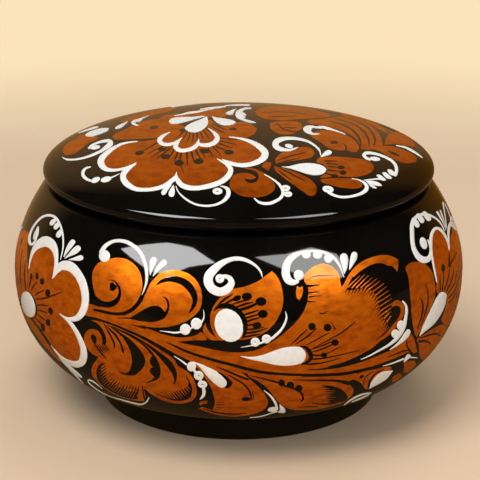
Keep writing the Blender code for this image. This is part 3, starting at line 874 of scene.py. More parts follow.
BOWL_DARK_LINES = [
    # Left flower
    [(31, 318.5, 0.8), (38.5, 327.5, 1.8), (46, 338.5, 2.2), (52, 347, 2), (57, 354, 1.6),
     (62.5, 360, 1)],
    [(35, 295.5, 0.6), (39, 292.5, 1.4), (44, 290.5, 1)],
    [(36, 299, 1), (42, 298.8, 1.6), (49, 296.8, 1.6), (56, 294.3, 1.2), (62, 292, 0.6)],
    [(37, 305, 1), (43, 305, 1.4), (48, 306, 0.8)],
    [(31.5, 290, 1), (34, 285.5, 1.4), (37, 282, 1)],
    [(38, 310, 0.8), (42, 311, 1.2), (47, 313, 0.8)],
    [(38, 314.5, 0.8), (42, 317.5, 1.2), (45.5, 320.5, 0.8)],
    [(36.5, 319, 0.8), (40, 322.5, 1.2), (43, 326, 0.8)],
    [(29, 288, 0.8), (30.5, 282, 1.2), (31.5, 277, 1)],
    [(29, 291.5, 0.6), (33, 297, 1.2), (35.8, 304.5, 1.4), (36.6, 311, 1.4), (35.5, 317, 1.2),
     (31.5, 319, 0.8)],
    [(26, 290, 0.8), (24.8, 280, 1.1), (24.8, 270, 1), (26, 260, 0.5)],
    [(21.2, 288, 0.6), (20.2, 276, 1), (20.8, 262, 0.8), (22.3, 250, 0.5)],
    [(28.6, 268, 0.8), (28.2, 260, 1.8), (28.6, 252, 2.2), (28.3, 245, 1.8), (28.2, 236, 0.8)],
    # Curls
    [(109.5, 280, 0.6), (113.5, 280.6, 1.4), (117.5, 284.5, 2), (119.8, 290, 2.4),
     (119.4, 295.5, 3.2), (116.8, 300.5, 4.8), (111.5, 304, 6), (105, 304.6, 5.8),
     (99, 302, 5.4), (94.5, 298, 5)],
    [(94, 309.3, 1.4), (99, 310.5, 2.4), (106, 312.6, 2.6), (115, 314, 2.6), (124, 313.6, 2.8),
     (131, 310.8, 3), (137, 305.5, 3.2), (141.5, 299, 3.4), (144.5, 291.5, 3),
     (147.5, 284.5, 2.6), (150.5, 279.5, 2)],
    [(118, 317.9, 0.5), (124, 318, 1.1), (131, 318.1, 1.5)],
    [(156, 285.3, 0.6), (161, 281.7, 3.2), (168, 279.3, 5), (175, 279.2, 6.5), (182, 281.3, 7),
     (187.5, 285, 7.6), (192, 290.5, 7), (194.8, 297, 6), (194.6, 303, 4.4), (192, 308.8, 3),
     (189, 313, 0.8)],
    [(163, 296.5, 0.6), (166.3, 298.8, 1.6), (168.2, 303, 2), (168.2, 308, 2.2),
     (166.5, 312.5, 3.4), (163, 317, 4)],
    [(132.5, 324.8, 0.5), (138, 326.2, 1.4), (145, 328.2, 2)],
    # Stem
    [(166.5, 342.3, 0.6), (172, 344.7, 1.4), (178, 347.5, 2), (184, 350.3, 2.2), (190, 352.6, 2.4),
     (200, 356, 2.6), (210, 359, 2.8), (220, 361.8, 3), (230, 364.3, 3), (240, 367, 3.2),
     (250, 369.6, 3.2), (260, 371.7, 3), (270, 373.1, 2.8), (280, 373.9, 2.6), (290, 374.5, 2.6),
     (305, 374.8, 2.4), (320, 374.6, 2.4), (335, 374, 2.2), (347, 372.9, 2.4), (358, 371, 2.6),
     (368, 368.8, 2.8), (378, 366, 3), (386, 363, 3), (394, 360, 3), (402, 357, 3.4)],
    [(308, 369.6, 0.6), (318, 369.4, 1.2), (328, 368, 1.8), (338, 365.8, 2.6), (346, 363.6, 3)],
    [(388, 357, 0.6), (397, 353.5, 1.2), (405, 350.7, 1.4), (408, 350.5, 0.8)],
    [(406.5, 341, 1), (407, 346, 1.6), (409.5, 350.5, 2), (412.5, 354, 2.4)],
    # Bud
    [(217, 306, 1), (223, 300.5, 2.2), (229, 296.5, 2), (233, 294, 0.8)],
    [(213.5, 311, 0.8), (217.5, 307.5, 3), (223, 305.8, 5), (229.5, 306.4, 5.6), (235.5, 309.4, 6),
     (240.3, 314, 6), (243.8, 320, 6), (245.3, 327, 5), (244.7, 333, 3.4), (243, 338, 1.6)],
    [(225, 304, 1.4), (230, 301, 2.2), (235, 298.5, 2.4)],
    [(233, 304, 1.4), (240, 301.8, 1.9), (247, 300, 1.2)],
    [(237, 307, 1.6), (246, 303.8, 2), (253, 302.5, 1)],
    [(240, 310, 3), (248, 307.5, 3), (255, 304.5, 2.6), (259, 302.5, 2)],
    [(243, 315, 1.8), (250, 313, 2.1), (258, 310.5, 1.3)],
    [(245, 318.3, 1.7), (252, 316.2, 1.9), (260, 314, 1.2)],
    [(247, 321.5, 1.9), (253, 319.4, 1.9), (259, 317.8, 1.2)],
    [(248, 325.3, 1.7), (252, 324.8, 1.8), (255, 325, 1.6)],
    [(248, 329.5, 1.7), (256, 328.8, 1.8), (263, 327.3, 1.2)],
    [(246, 333.3, 1.7), (254, 332, 2), (261, 330.3, 1.6), (267, 328, 0.8)],
    [(243, 337, 1.4), (251, 335.8, 1.9), (259, 334.3, 1.2)],
    # Large right leaf
    [(291, 344, 0.6), (296, 340, 1.2), (302, 334, 1.4), (307.5, 329.5, 1)],
    [(296, 344, 0.8), (302, 340, 1.4), (308, 336, 1.6), (312.5, 332, 1.2), (316.5, 328.5, 0.8)],
    [(307, 344.5, 0.8), (314, 341, 1.2), (322, 336.5, 1.2), (329, 333, 0.8)],
    [(309, 350, 0.6), (318, 347, 1.2), (326, 344, 1.2), (332, 341.5, 1)],
    [(312, 352, 0.8), (320, 349.7, 1.4), (328, 346.5, 1.4), (336, 342.5, 1)],
    [(313, 348, 0.6), (322, 343.5, 1), (332, 338, 1.2), (341, 333, 1.4), (349, 327, 1.4),
     (355.5, 321.5, 0.8)],
    [(311, 355, 2), (316, 355.3, 1.8), (321, 355.2, 1.4)],
    [(312, 359, 1.6), (320, 358.5, 1.6), (330, 357, 1.2), (340, 355, 1), (350, 352.5, 1),
     (359, 350.5, 0.6)],
    [(303, 364, 0.8), (312, 364, 1.6), (322, 362.8, 1.4), (332, 360.5, 1), (340, 358, 0.6)],
    [(326, 354, 0.8), (334, 350, 1.2), (341, 346.5, 0.6)],
    [(300, 346, 0.8), (305.5, 347.5, 3), (309.5, 352, 4.5), (311, 357, 4), (308, 361.5, 3),
     (302, 364.5, 1.6)],
    [(307, 286, 3), (314, 285.3, 2), (320, 284.8, 0.8)],
    [(308.5, 293, 1.6), (314, 292, 1.4), (320, 291.6, 0.6)],
    [(309.5, 297, 1.6), (315, 296.2, 1.2), (322, 296, 0.5)],
    [(308, 301.5, 1.4), (312, 301.7, 1), (316.5, 301.7, 0.5)],
    [(320, 313.3, 1.4), (323.5, 313.5, 1.2), (328, 311, 0.5)],
    [(331, 322, 0.5), (333.3, 325.5, 0.8), (335, 329, 1.6)],
    [(306, 280.5, 0.6), (312, 277.3, 1.2), (319, 275.5, 1.6), (327, 275.5, 1), (334, 276, 0.5)],
    [(376, 340, 0.6), (383, 334.5, 1.2), (389, 328.5, 1.4), (393.5, 322.5, 1)],
    # Low left leaves
    [(103, 322.5, 0.6), (106.5, 328, 1.2), (109.5, 333.5, 1.6), (112.3, 339, 1.6),
     (114.4, 344, 1.8), (114.6, 347.5, 1.2)],
    [(106.5, 325.5, 0.8), (111, 330.5, 1.6), (115.5, 335, 2.2), (118.8, 340, 1.8),
     (121.5, 345.5, 1.8), (123, 351, 2.2), (123.3, 352.5, 1.4)],
    [(107.5, 324.5, 0.6), (113, 328, 1.4), (118.5, 332, 2), (121.5, 335, 2.4)],
    [(112, 326, 0.6), (120, 330.2, 1.4), (128, 334.3, 1.6), (135.5, 338.7, 1.6), (142, 343.5, 1.8),
     (147.5, 348.5, 2.2), (152, 353.5, 2.6)],
    [(124, 331, 0.6), (131, 334.7, 1.2), (138, 338.6, 1.4), (144, 342.5, 1.8), (150, 346.8, 2.6),
     (156, 351.5, 3.4), (161, 355.8, 4.4), (166, 360.5, 6), (171, 366.5, 6), (174.5, 373, 4.6),
     (175.3, 379, 2.6), (174.5, 384, 0.8)],
    [(94.3, 343.5, 1), (98, 348.7, 1.8), (102, 353.7, 1.6), (106.3, 358.3, 0.8)],
    [(97.3, 344.5, 0.8), (101, 349.3, 1.2), (104.5, 353.2, 0.6)],
    [(99.8, 344.7, 0.8), (103, 348.8, 1.2), (106.3, 352.2, 0.6)],
    [(102.3, 344.8, 0.8), (105, 348.3, 1.2), (107.8, 351.3, 0.6)],
    [(104.6, 344.7, 0.8), (107, 347.8, 1.1), (109.5, 350.3, 0.5)],
    [(136.5, 389, 0.6), (136.3, 393, 1.4), (135, 397.5, 1.2)],
    [(142.2, 386, 0.6), (143.3, 392, 1.4), (144.3, 398, 1.4), (144.6, 401, 0.6)],
    [(186, 376.5, 0.6), (189, 381.5, 1.4), (191, 387, 1.6), (192, 392, 0.8)],
    # Low middle leaves
    [(203, 408.6, 0.6), (212, 411.3, 1.2), (222, 413.3, 1.4), (234, 414, 1.4), (246, 413, 0.8)],
    [(216, 366.5, 0.6), (226, 370.5, 1.6), (234, 374, 1.8), (240, 376.5, 2), (248, 379.5, 2.2)],
    [(228, 374.5, 0.5), (234, 378, 1.2), (240, 381.5, 1.4), (245, 385.5, 1.6), (249, 390.5, 1.8),
     (251, 396, 1.8), (251, 400, 1.2)],
    [(252.5, 391, 0.4), (253.5, 396, 1), (253, 400, 0.6)],
    [(216, 402, 0.4), (220, 402.2, 0.6), (224, 402, 0.4)],
    [(216, 404.5, 0.4), (220, 404.7, 0.6), (224, 404.5, 0.4)],
    [(216, 407, 0.4), (220, 407.2, 0.6), (224, 407, 0.4)],
    [(250, 375.5, 0.6), (260, 377.8, 1.4), (270, 380.5, 1.6), (278, 382.5, 1.8), (286, 386, 2),
     (294, 388.5, 2), (299, 391, 2), (302.5, 395, 2.2), (303, 399, 2), (300.5, 402, 0.8)],
    [(293, 380, 0.6), (305, 380.2, 1), (318, 380.2, 1.6), (330, 380.4, 2), (340, 381.2, 2.8),
     (348, 383.2, 4)],
    [(312, 402.8, 0.6), (320, 404, 1.2), (330, 404, 1.2), (338, 402.5, 0.6)],
    [(298, 407, 0.6), (308, 406.7, 1), (318, 406.4, 0.6)],
    [(384, 369, 0.6), (377, 372.5, 1.2), (372, 377.5, 1.6), (369, 383, 1.6), (367.8, 388, 1)],
    [(373, 371.5, 0.6), (367, 375.5, 1), (364, 380, 1), (363.5, 385, 0.6)],
    # Right flower
    [(442, 290, 1.2), (443, 283, 1), (443.6, 276, 0.8), (443.3, 271, 0.6)],
    [(444.5, 290, 1.2), (447, 282, 1), (449, 273, 0.8), (449.5, 266, 0.6)],
    [(446.5, 291, 1.2), (450.5, 283, 1), (453, 275, 0.8), (454, 266, 0.5)],
    [(447.5, 294, 1.2), (452.5, 287, 1), (455.5, 280, 0.8), (456.5, 271, 0.5)],
    [(448.5, 298, 1.2), (453.5, 292, 1), (457, 285, 0.8), (458.5, 277, 0.5)],
    [(448.5, 303, 1.2), (453, 298, 1), (456.5, 292, 0.6)],
    [(440.2, 290, 1.2), (440, 283, 1), (440, 276, 0.6)],
    [(449.3, 252, 0.6), (449.2, 258, 1.4), (449.2, 263, 1.6)],
    [(456.5, 252, 0.6), (454.5, 257, 1.2), (452, 261, 1.4), (450, 265, 1.2)],
    [(419, 338, 0.8), (425, 336.5, 1.4), (431, 334.5, 1.8), (437, 333.8, 1.8), (440.5, 336, 1.2)],
    [(419.5, 341.5, 2.6), (424, 341, 2.4), (428.5, 342, 1.6), (430.5, 344.5, 0.8)],
    [(420, 297, 0.5), (422, 301.5, 1.4), (422.8, 307, 1.6), (422, 314, 1.6), (420, 321, 1.4),
     (417.5, 328, 1)],
    [(425.5, 284, 0.5), (427.3, 289, 1), (428, 295, 1.2), (427.8, 302, 1.2), (426, 310, 1.2),
     (423.5, 318, 1), (420.5, 326, 0.6)],
    [(421.5, 329, 0.6), (420, 332, 1.2), (418.5, 335.5, 1.4)],
]

BOWL_DARK_BLOBS = [
    (31.3, 276.5, 2.5, 7, 0), (37.2, 276, 3.2, 7.5, 0), (42.2, 281.3, 4.4, 7, 0),
    (47.8, 292.8, 5, 7, 0), (50.7, 311, 4.4, 8, -15), (48.3, 322.5, 4.4, 7.5, -8),
    (43, 327.5, 4, 8, -12),
    (236.9, 298.3, 8.6, 5.8, -25), (246.8, 296.6, 10.4, 8, 0), (261, 301.5, 11, 8.8, 0),
    (262.7, 314, 10.2, 8.2, 0), (257, 325.4, 9, 6.4, -10),
    (312, 326.5, 7.6, 7.6, 0), (327.5, 327.5, 7.8, 7.8, 0), (335, 342.5, 7.5, 6.5, 0),
    (324, 355, 6.5, 4.8, 0),
    (246, 399, 9, 4.2, 0), (281.5, 382.8, 6.6, 6.8, 0), (290.5, 385, 7.6, 6.6, 10),
    (298.8, 388.2, 7.6, 6.8, -20), (361.5, 376.5, 5, 3, -35),
    (443, 268, 3.6, 8, 0), (449.5, 264.5, 3, 6, 0),
]

BOWL_DARK_COMBS = [
    ([(99, 366), (99, 372), (101, 378), (106, 383), (113, 388), (121, 391), (129, 393),
      (137, 393.5)],
     [(104.5, 363.5), (106.5, 368.5), (108, 374), (112.5, 378), (120.5, 382.5), (127.5, 385.5),
      (133.5, 387), (139, 386.5)], 17, 2, 0.4),
    ([(353, 278), (359, 276.5), (365, 277), (371, 279), (377, 283), (382, 288), (387, 292),
      (390, 298), (391, 306), (391, 313), (391, 320)],
     [(345, 293), (350, 294), (356, 293), (362, 293), (368, 295), (373, 300), (375, 306),
      (376, 313), (379, 319), (383, 325), (386, 330)], 21, 2.4, 0.4),
    ([(334, 387), (337, 389), (337, 392.5), (337, 396), (336.5, 399), (334.5, 402)],
     [(322, 385.5), (324, 389), (325, 392.5), (325.5, 396), (326, 399.5), (327, 402.3)],
     9, 2, 0.4),
]

BOWL_WHITE_LINES = [
    # Left flower
    [(28.9, 269, 0.6), (30.1, 261, 1.6), (32.4, 253, 3.2), (35.9, 247.3, 5.6), (40.7, 243.4, 8.8),
     (46, 241.5, 10.6), (51, 243.9, 9.4), (54.8, 249.8, 6.4), (56.2, 257, 4.2), (56.1, 264, 3.6),
     (54.7, 271, 2.4), (52.5, 278.5, 0.6)],
    [(53.5, 277.5, 0.8), (57, 271, 4.5), (61, 266.5, 8), (66, 265.4, 9.8), (71.5, 267.3, 9.6),
     (77, 272.8, 8.4), (81.5, 280.5, 8), (84.3, 289, 7.6), (85.4, 298, 7.2), (84.6, 306, 7),
     (82, 312.8, 7), (77.5, 317.8, 6), (72, 319.2, 4.4), (66, 318.2, 2.6), (60, 314, 0.8)],
    [(60, 314, 0.6), (66, 318.8, 2.2), (71.5, 324.5, 3.6), (76.5, 332, 4.2), (80.6, 340.5, 4.8),
     (83.4, 349, 6), (83.6, 356.5, 7.2), (81.5, 362.3, 7.4), (76.5, 364.2, 6.6), (70, 362.6, 4.6),
     (63.5, 359, 3), (57, 353, 1.8), (51.3, 345.5, 0.6)],
    [(59, 357, 0.6), (63, 361.5, 1.8), (68, 366, 3), (73, 370.5, 3.4), (78, 374.5, 2.8),
     (81.5, 377, 1.4)],
    [(70, 370, 0.6), (75, 374.8, 1.2), (80, 380, 1.2), (83, 383, 0.8)],
    [(60.6, 259.5, 0.5), (61.6, 255, 0.9), (63, 248, 1.2), (63.2, 240, 1.6), (62.3, 232, 1.8),
     (60.1, 225, 2.2), (56.9, 219.3, 2.8), (52.7, 216, 2.8), (47.5, 215.4, 2.4), (42, 217.2, 2.2),
     (37, 221.7, 2), (32.6, 228, 2), (29.8, 235, 2.2), (29.3, 240.6, 2.6), (30.8, 244.4, 2.6),
     (33.5, 243.3, 2.2), (35.6, 239.8, 1.8), (36.6, 236, 2)],
    [(38.2, 227, 1.4), (37.3, 230.5, 3.2), (35.9, 235, 4.4), (34.6, 238.3, 3)],
    [(55.2, 219.8, 2.8), (53, 221.8, 4.8), (51.6, 223.6, 4)],
    [(58.4, 223.6, 3.2), (56.8, 225.7, 4.8), (55.6, 227.6, 4)],
    [(60.6, 230.8, 3), (59.5, 233, 5), (58.3, 235.3, 4.8)],
    [(64, 256.5, 0.8), (67.3, 250, 3.6), (70.5, 245, 5), (72.8, 242, 5)],
    [(64.8, 258.2, 0.8), (69.5, 255, 3), (74.5, 251.3, 6), (77.8, 248.5, 6)],
    [(69, 259.8, 0.6), (74.5, 259, 3), (79, 258.3, 5), (80.8, 257.8, 5)],
    # Low left edge
    [(102, 388.5, 0.5), (97, 384.3, 0.8), (92, 381, 1.1), (88.2, 380, 1.3), (88.5, 382.3, 1.1),
     (93, 386.5, 0.9), (98, 390.2, 0.8), (104, 393.8, 0.7), (111, 396.6, 0.7), (119, 399.1, 1.1),
     (127, 401.4, 1.4), (135, 403.5, 1.6), (140.5, 404.4, 1.6), (145, 403, 1.4), (147.8, 400, 1.3),
     (149, 397.4, 0.9)],
    # Curl 1
    [(101.5, 252, 4.4), (104.5, 247, 4), (109.5, 243, 3.4), (115, 241, 3.2), (121, 240.8, 3.4),
     (127, 242.2, 3.8), (132.5, 245.3, 4), (138, 249.8, 4.2), (142, 255.5, 4.2), (144.6, 262, 3.8),
     (146.2, 269, 3.4), (146.8, 276, 3), (146.2, 283, 2.4), (144.2, 289.5, 1.6), (142, 295, 0.6)],
    [(150.2, 275, 0.8), (151, 269.5, 3.8), (152.5, 263.5, 6.2), (153.8, 260, 6.8)],
    [(153, 276, 0.8), (156.5, 271, 3.6), (160.5, 266, 5.6), (164, 262.8, 6.6)],
    # Curl 2
    [(203.3, 309.8, 0.4), (204, 314, 1), (203.6, 318.5, 1.4), (201.8, 322, 1.9)],
    [(190.5, 328.5, 1.8), (193.5, 326.8, 1.8)],
    [(181, 332, 1.8), (175, 332.8, 1.6), (169, 332, 1.2), (160, 330.8, 0.5)],
    # Spiral over the bud
    [(262.5, 277.5, 0.6), (261, 272.5, 1.8), (258, 268, 2.2), (254, 264.5, 2.6), (249, 261.5, 3.2),
     (243, 259.3, 3.8), (236, 258.6, 4.2), (229, 260, 4.6), (221.5, 263.5, 6.2), (213.5, 270, 8.2),
     (209, 276, 9), (208.4, 282, 9.2), (211.8, 288.4, 8.6), (220.4, 291.9, 8.6), (228, 288.6, 8),
     (231.4, 283, 6.4), (229.7, 278.4, 5), (225.2, 276.4, 4), (221.5, 276.8, 3.4)],
    [(285.5, 311.5, 0.6), (286.5, 317, 1.8), (285, 323, 2.2), (281, 330, 2.4), (276, 335, 2.6),
     (271, 339, 2.6), (266, 341, 2.4), (260, 343.3, 1.8), (254, 345, 1.3), (248, 346.2, 0.9),
     (241, 347.3, 0.4)],
    # Arch over the right leaf
    [(297, 281.5, 4), (293, 282.3, 6), (288.8, 280.5, 7.5), (286, 275.5, 8), (285.8, 269.5, 8),
     (287.2, 263.5, 7.6), (291, 258.2, 7), (296.5, 254.6, 5.5), (303, 252.2, 3.8),
     (310, 251.2, 3.2), (318, 251.3, 3.2), (326, 253.2, 3.4), (332, 256.5, 3.6), (336.5, 261, 3.2),
     (339.8, 266, 2.4), (342, 271.5, 1.6), (343.8, 277, 0.8)],
    [(344.3, 273.5, 0.8), (344.8, 268, 4.5), (344.4, 261, 7.6), (343.8, 257, 7.6)],
    [(349.5, 269.5, 0.8), (351.5, 264, 4), (353.5, 258, 6.4), (354.3, 254.8, 6)],
    [(241, 356.3, 0.6), (251, 358.2, 2.6), (262, 358.5, 6.5), (272, 358, 12.5), (282, 357, 17.3),
     (291, 356, 18.6), (297, 355.4, 17.6)],
    # Beside the hook
    [(361, 359.5, 0.6), (370, 355.5, 1.2), (380, 350, 1.8), (388, 345.5, 2.4), (395, 340, 3.4),
     (400, 333.5, 4.2), (403.8, 326, 4), (405.6, 318, 3), (406.6, 310, 2.6), (405.5, 304.8, 2.2),
     (402.8, 301.5, 1.6)],
    [(390, 349.5, 0.6), (396, 345.5, 2), (402, 340, 4), (406.5, 334.5, 5.4), (408.3, 331.5, 4.4)],
    [(383, 366, 0.6), (390, 364, 1.2), (397, 361.5, 1.6), (403, 359, 2)],
    [(404, 362, 0.6), (406, 359, 3.2), (408.6, 356, 4)],
    [(410, 357.3, 1.4), (414, 357.5, 1.2), (417, 357.8, 0.8)],
    [(369.5, 388.5, 0.6), (373, 384.2, 5), (379, 379, 8.4), (385, 375, 8), (389.5, 372.5, 4),
     (392.5, 370.8, 0.8)],
    [(344, 405, 0.6), (350, 400.5, 1.6), (357, 396.5, 1.8), (364, 394, 1.6), (371, 392.8, 1)],
    [(352, 402, 0.6), (358, 399.5, 1.4), (364, 397, 1.4), (369, 394.5, 0.8)],
    # String of dots by the low leaves
    [(174, 356, 0.5), (180, 359.8, 1.1), (186, 364.3, 1.8)],
    [(194, 370, 2.6), (196, 373, 2.6)],
    [(200, 379, 2.6), (201, 382, 2.6)],
    [(203.2, 387, 2.8), (204, 391.5, 3.4), (203.3, 395.5, 3), (200.5, 398.8, 1.4)],
    [(193.3, 361.8, 0.7), (198, 364.2, 1.9), (202, 366.6, 4), (204.7, 368.7, 5.6),
     (208.8, 371.9, 8.2), (213, 375, 10), (216.8, 378.2, 10.9), (220.5, 381.4, 10.4),
     (222, 382.8, 9.8)],
    [(264, 390.5, 0.6), (269, 394.5, 1.6), (273, 399, 2.2), (275.8, 404, 2.4), (277, 408.5, 2.4)],
    [(279.6, 404.2, 0.6), (281.2, 407.3, 3.2), (282.6, 409.8, 5), (283, 410.8, 4.6)],
    [(279.5, 411.8, 2.4), (284.5, 411.3, 2)],
    [(277, 411.6, 1.2), (272, 412.9, 1), (266, 415, 0.9), (259, 416.7, 0.8), (250, 417.6, 0.5)],
    # Right flower
    [(419.5, 335.8, 0.6), (423.5, 330, 4.4), (430.3, 321, 9.5), (436.5, 310.5, 11.3),
     (440.6, 301, 10.6), (442.5, 296, 8.2)],
    [(444.5, 231, 0.6), (442.3, 226, 1.1), (438.8, 221, 1.6), (434.5, 217.6, 1.9),
     (430, 215.6, 2.4), (425, 214.3, 3), (420, 215, 3.2), (416, 217.2, 3.4), (413.1, 220.8, 3.8),
     (411.9, 226, 4), (412, 232, 4), (412.3, 240, 4), (413.3, 247, 4.2), (415.8, 253, 5),
     (419.5, 257.8, 6), (424, 260, 6.5), (428.3, 258.8, 5.5), (430.3, 254.5, 3),
     (430.3, 248.5, 1.6), (429.3, 243.5, 1.6), (427.8, 240, 1.2)],
    [(413.4, 219.3, 3.4), (415.8, 222.5, 5), (417.3, 225.3, 4.6)],
    [(417.9, 215.2, 3.6), (420.5, 218.4, 5.2), (422, 220.9, 4.6)],
    [(424.2, 213, 3.8), (427, 216.4, 5.2), (428.8, 218.9, 4.6)],
    [(446, 230, 0.3), (442.8, 222, 0.8), (439.7, 216.3, 1.7), (437.2, 212, 1.9)],
    [(446.3, 228, 0.3), (443.8, 220, 0.7), (441.8, 214.5, 1.3), (440.3, 210.5, 1.2)],
    [(446.5, 227, 0.3), (445.3, 217, 0.8), (444, 209, 1.2), (443, 202.5, 1.4)],
    [(444.8, 203.5, 0.4), (447.2, 209, 0.5), (449.5, 215, 0.5), (451.4, 219.5, 0.4)],
    [(436.8, 282.5, 0.8), (435.6, 276, 1.6), (434, 268, 1.8), (432.6, 260, 2), (431.3, 252, 2.4),
     (430.9, 244, 2.8), (431, 238, 3), (432.3, 232.5, 3.2), (435.5, 228.6, 3.2), (439.3, 229, 3),
     (443, 232.5, 2.6), (446, 237.5, 2.2), (448, 243, 1.6), (448.8, 249, 0.8)],
    [(449.3, 250, 0.8), (448.7, 240, 1.6), (448.5, 232, 2.2), (449.5, 226, 3), (451.5, 223.5, 4),
     (454, 226, 4), (456, 229.5, 2.5)],
]

BOWL_WHITE_RINGS = [
    (198.7, 375.5, 9.8, 9.2, 10), (202.4, 384.3, 9.8, 7.2, 8),
    (255.3, 342.1, 9.4, 9.2, 0), (266.4, 338.9, 9.4, 9.0, 0), (219.9, 278.6, 9, 9.2, 0),
]

BOWL_WHITE_BLOBS = [
    (28.3, 304.5, 13.2, 26.5, -14), (104.5, 256, 11, 12, 0), (196.4, 323.6, 11, 11.4, 0),
    (185.3, 329.4, 10.6, 11, 0), (229, 325.3, 28, 34, -22),
    (298.7, 275, 10, 10.6, 0), (306.5, 254.8, 9, 8, 0), (317.5, 255, 9.5, 8, 0),
    (328.5, 258.3, 9, 9.4, 0),
    (395.5, 333.8, 8.4, 8.8, 0), (400.6, 325.2, 7.2, 9.8, 12),
    (191.5, 366.5, 9.2, 9.8, 0),
    (272.8, 409.4, 10.5, 4.8, -8), (423.5, 243.2, 6.8, 12.4, -18),
]

# The bowl's sides, out of the photograph's sight, in steps of 0.3 mm on the map: x runs round from
# the middle of the side, and y down from the rim. They complete the flowers that its outline cuts.

SIDE_GOLD_FILLS = [
    # The left flower's hidden petals
    [(62, 43), (45, 46), (28, 56), (19, 71), (17, 87), (26, 100), (42, 107), (62, 108), (70, 80)],
    [(64, 115), (42, 111), (23, 115), (11, 127), (15, 142), (30, 152), (49, 153), (68, 145),
     (76, 127)],
    # The right flower's hidden petals
    [(-57, 47), (-42, 43), (-27, 52), (-19, 67), (-23, 83), (-38, 93), (-58, 97), (-62, 70)],
    [(-58, 92), (-34, 93), (-21, 105), (-23, 123), (-38, 137), (-58, 142), (-72, 133), (-70, 110)],
    # The round end of the long leaf at the right flower's foot
    [(-86, 136), (-75, 141), (-71, 150), (-77, 160), (-89, 168), (-101, 171), (-109, 165),
     (-104, 152), (-95, 142)],
    # The leaves under them
    [(4, 204), (-10, 194), (-13, 180), (-4, 168), (8, 160), (12, 172), (20, 182), (18, 196)],
    [(25, 168), (37, 172), (44, 184), (38, 200), (29, 192), (26, 180)],
    [(-25, 160), (-37, 164), (-44, 178), (-38, 198), (-29, 188), (-26, 174)],
]

SIDE_DARK_LINES = [
    [(67, 92, 2.2), (50, 82, 1.8), (38, 74, 1.2)],
    [(60, 97, 0.8), (46, 94, 1.8), (34, 90, 1.2)],
    [(58, 68, 0.8), (52, 60, 1.8), (44, 54, 1.2)],
    [(67, 113, 2.0), (50, 120, 1.8), (38, 127, 1.2)],
    [(70, 118, 2.0), (60, 130, 1.8), (52, 140, 1.2)],
    [(-70, 84, 1.2), (-54, 72, 2.2), (-38, 64, 1.0)],
    [(-70, 90, 1.2), (-54, 84, 2.2), (-36, 82, 1.0)],
    [(-74, 104, 1.2), (-56, 108, 2.2), (-40, 110, 1.0)],
    [(-74, 112, 1.2), (-58, 122, 2.2), (-44, 127, 1.0)],
    [(4, 200, 1.0), (2, 186, 2.2), (7, 170, 0.8)],
    [(37, 196, 0.8), (35, 186, 2.0), (29, 175, 0.8)],
    [(-37, 193, 0.8), (-35, 180, 2.0), (-29, 168, 0.8)],
]

SIDE_DARK_BLOBS = [
    (33, 70, 6, 7, 0),
    (28, 88, 6, 7, 0),
    (52, 55, 6, 7, 0),
    (33, 130, 6, 7, 0),
    (49, 144, 6, 6, 0),
]

SIDE_WHITE_LINES = [
    # Round the left flower's petals
    [(27, 48, 0.8), (17, 58, 5), (8, 78, 7.5), (11, 95, 6), (25, 107, 3), (38, 111, 1)],
    [(38, 111, 1), (19, 109, 4), (5, 120, 7), (2, 135, 8), (10, 150, 7.5), (28, 160, 6),
     (51, 161, 3.5), (74, 155, 1)],
    # Round the right flower's petals
    [(-45, 40, 1.2), (-31, 38, 4), (-16, 48, 6.5), (-10, 67, 7), (-14, 85, 6), (-27, 95, 1.2)],
    [(-27, 94, 1.2), (-16, 104, 5), (-14, 123, 7), (-27, 140, 6.5), (-50, 149, 4),
     (-71, 149, 1.2)],
]

SIDE_WHITE_BLOBS = [
    (-8, 148, 7, 7, 0),
    (-15, 157, 6, 6, 0),
    (-3, 157, 5, 5, 0),
    (24, 203, 5, 5, 0),
    (-18, 203, 5, 5, 0),
]

# The marks on the lid

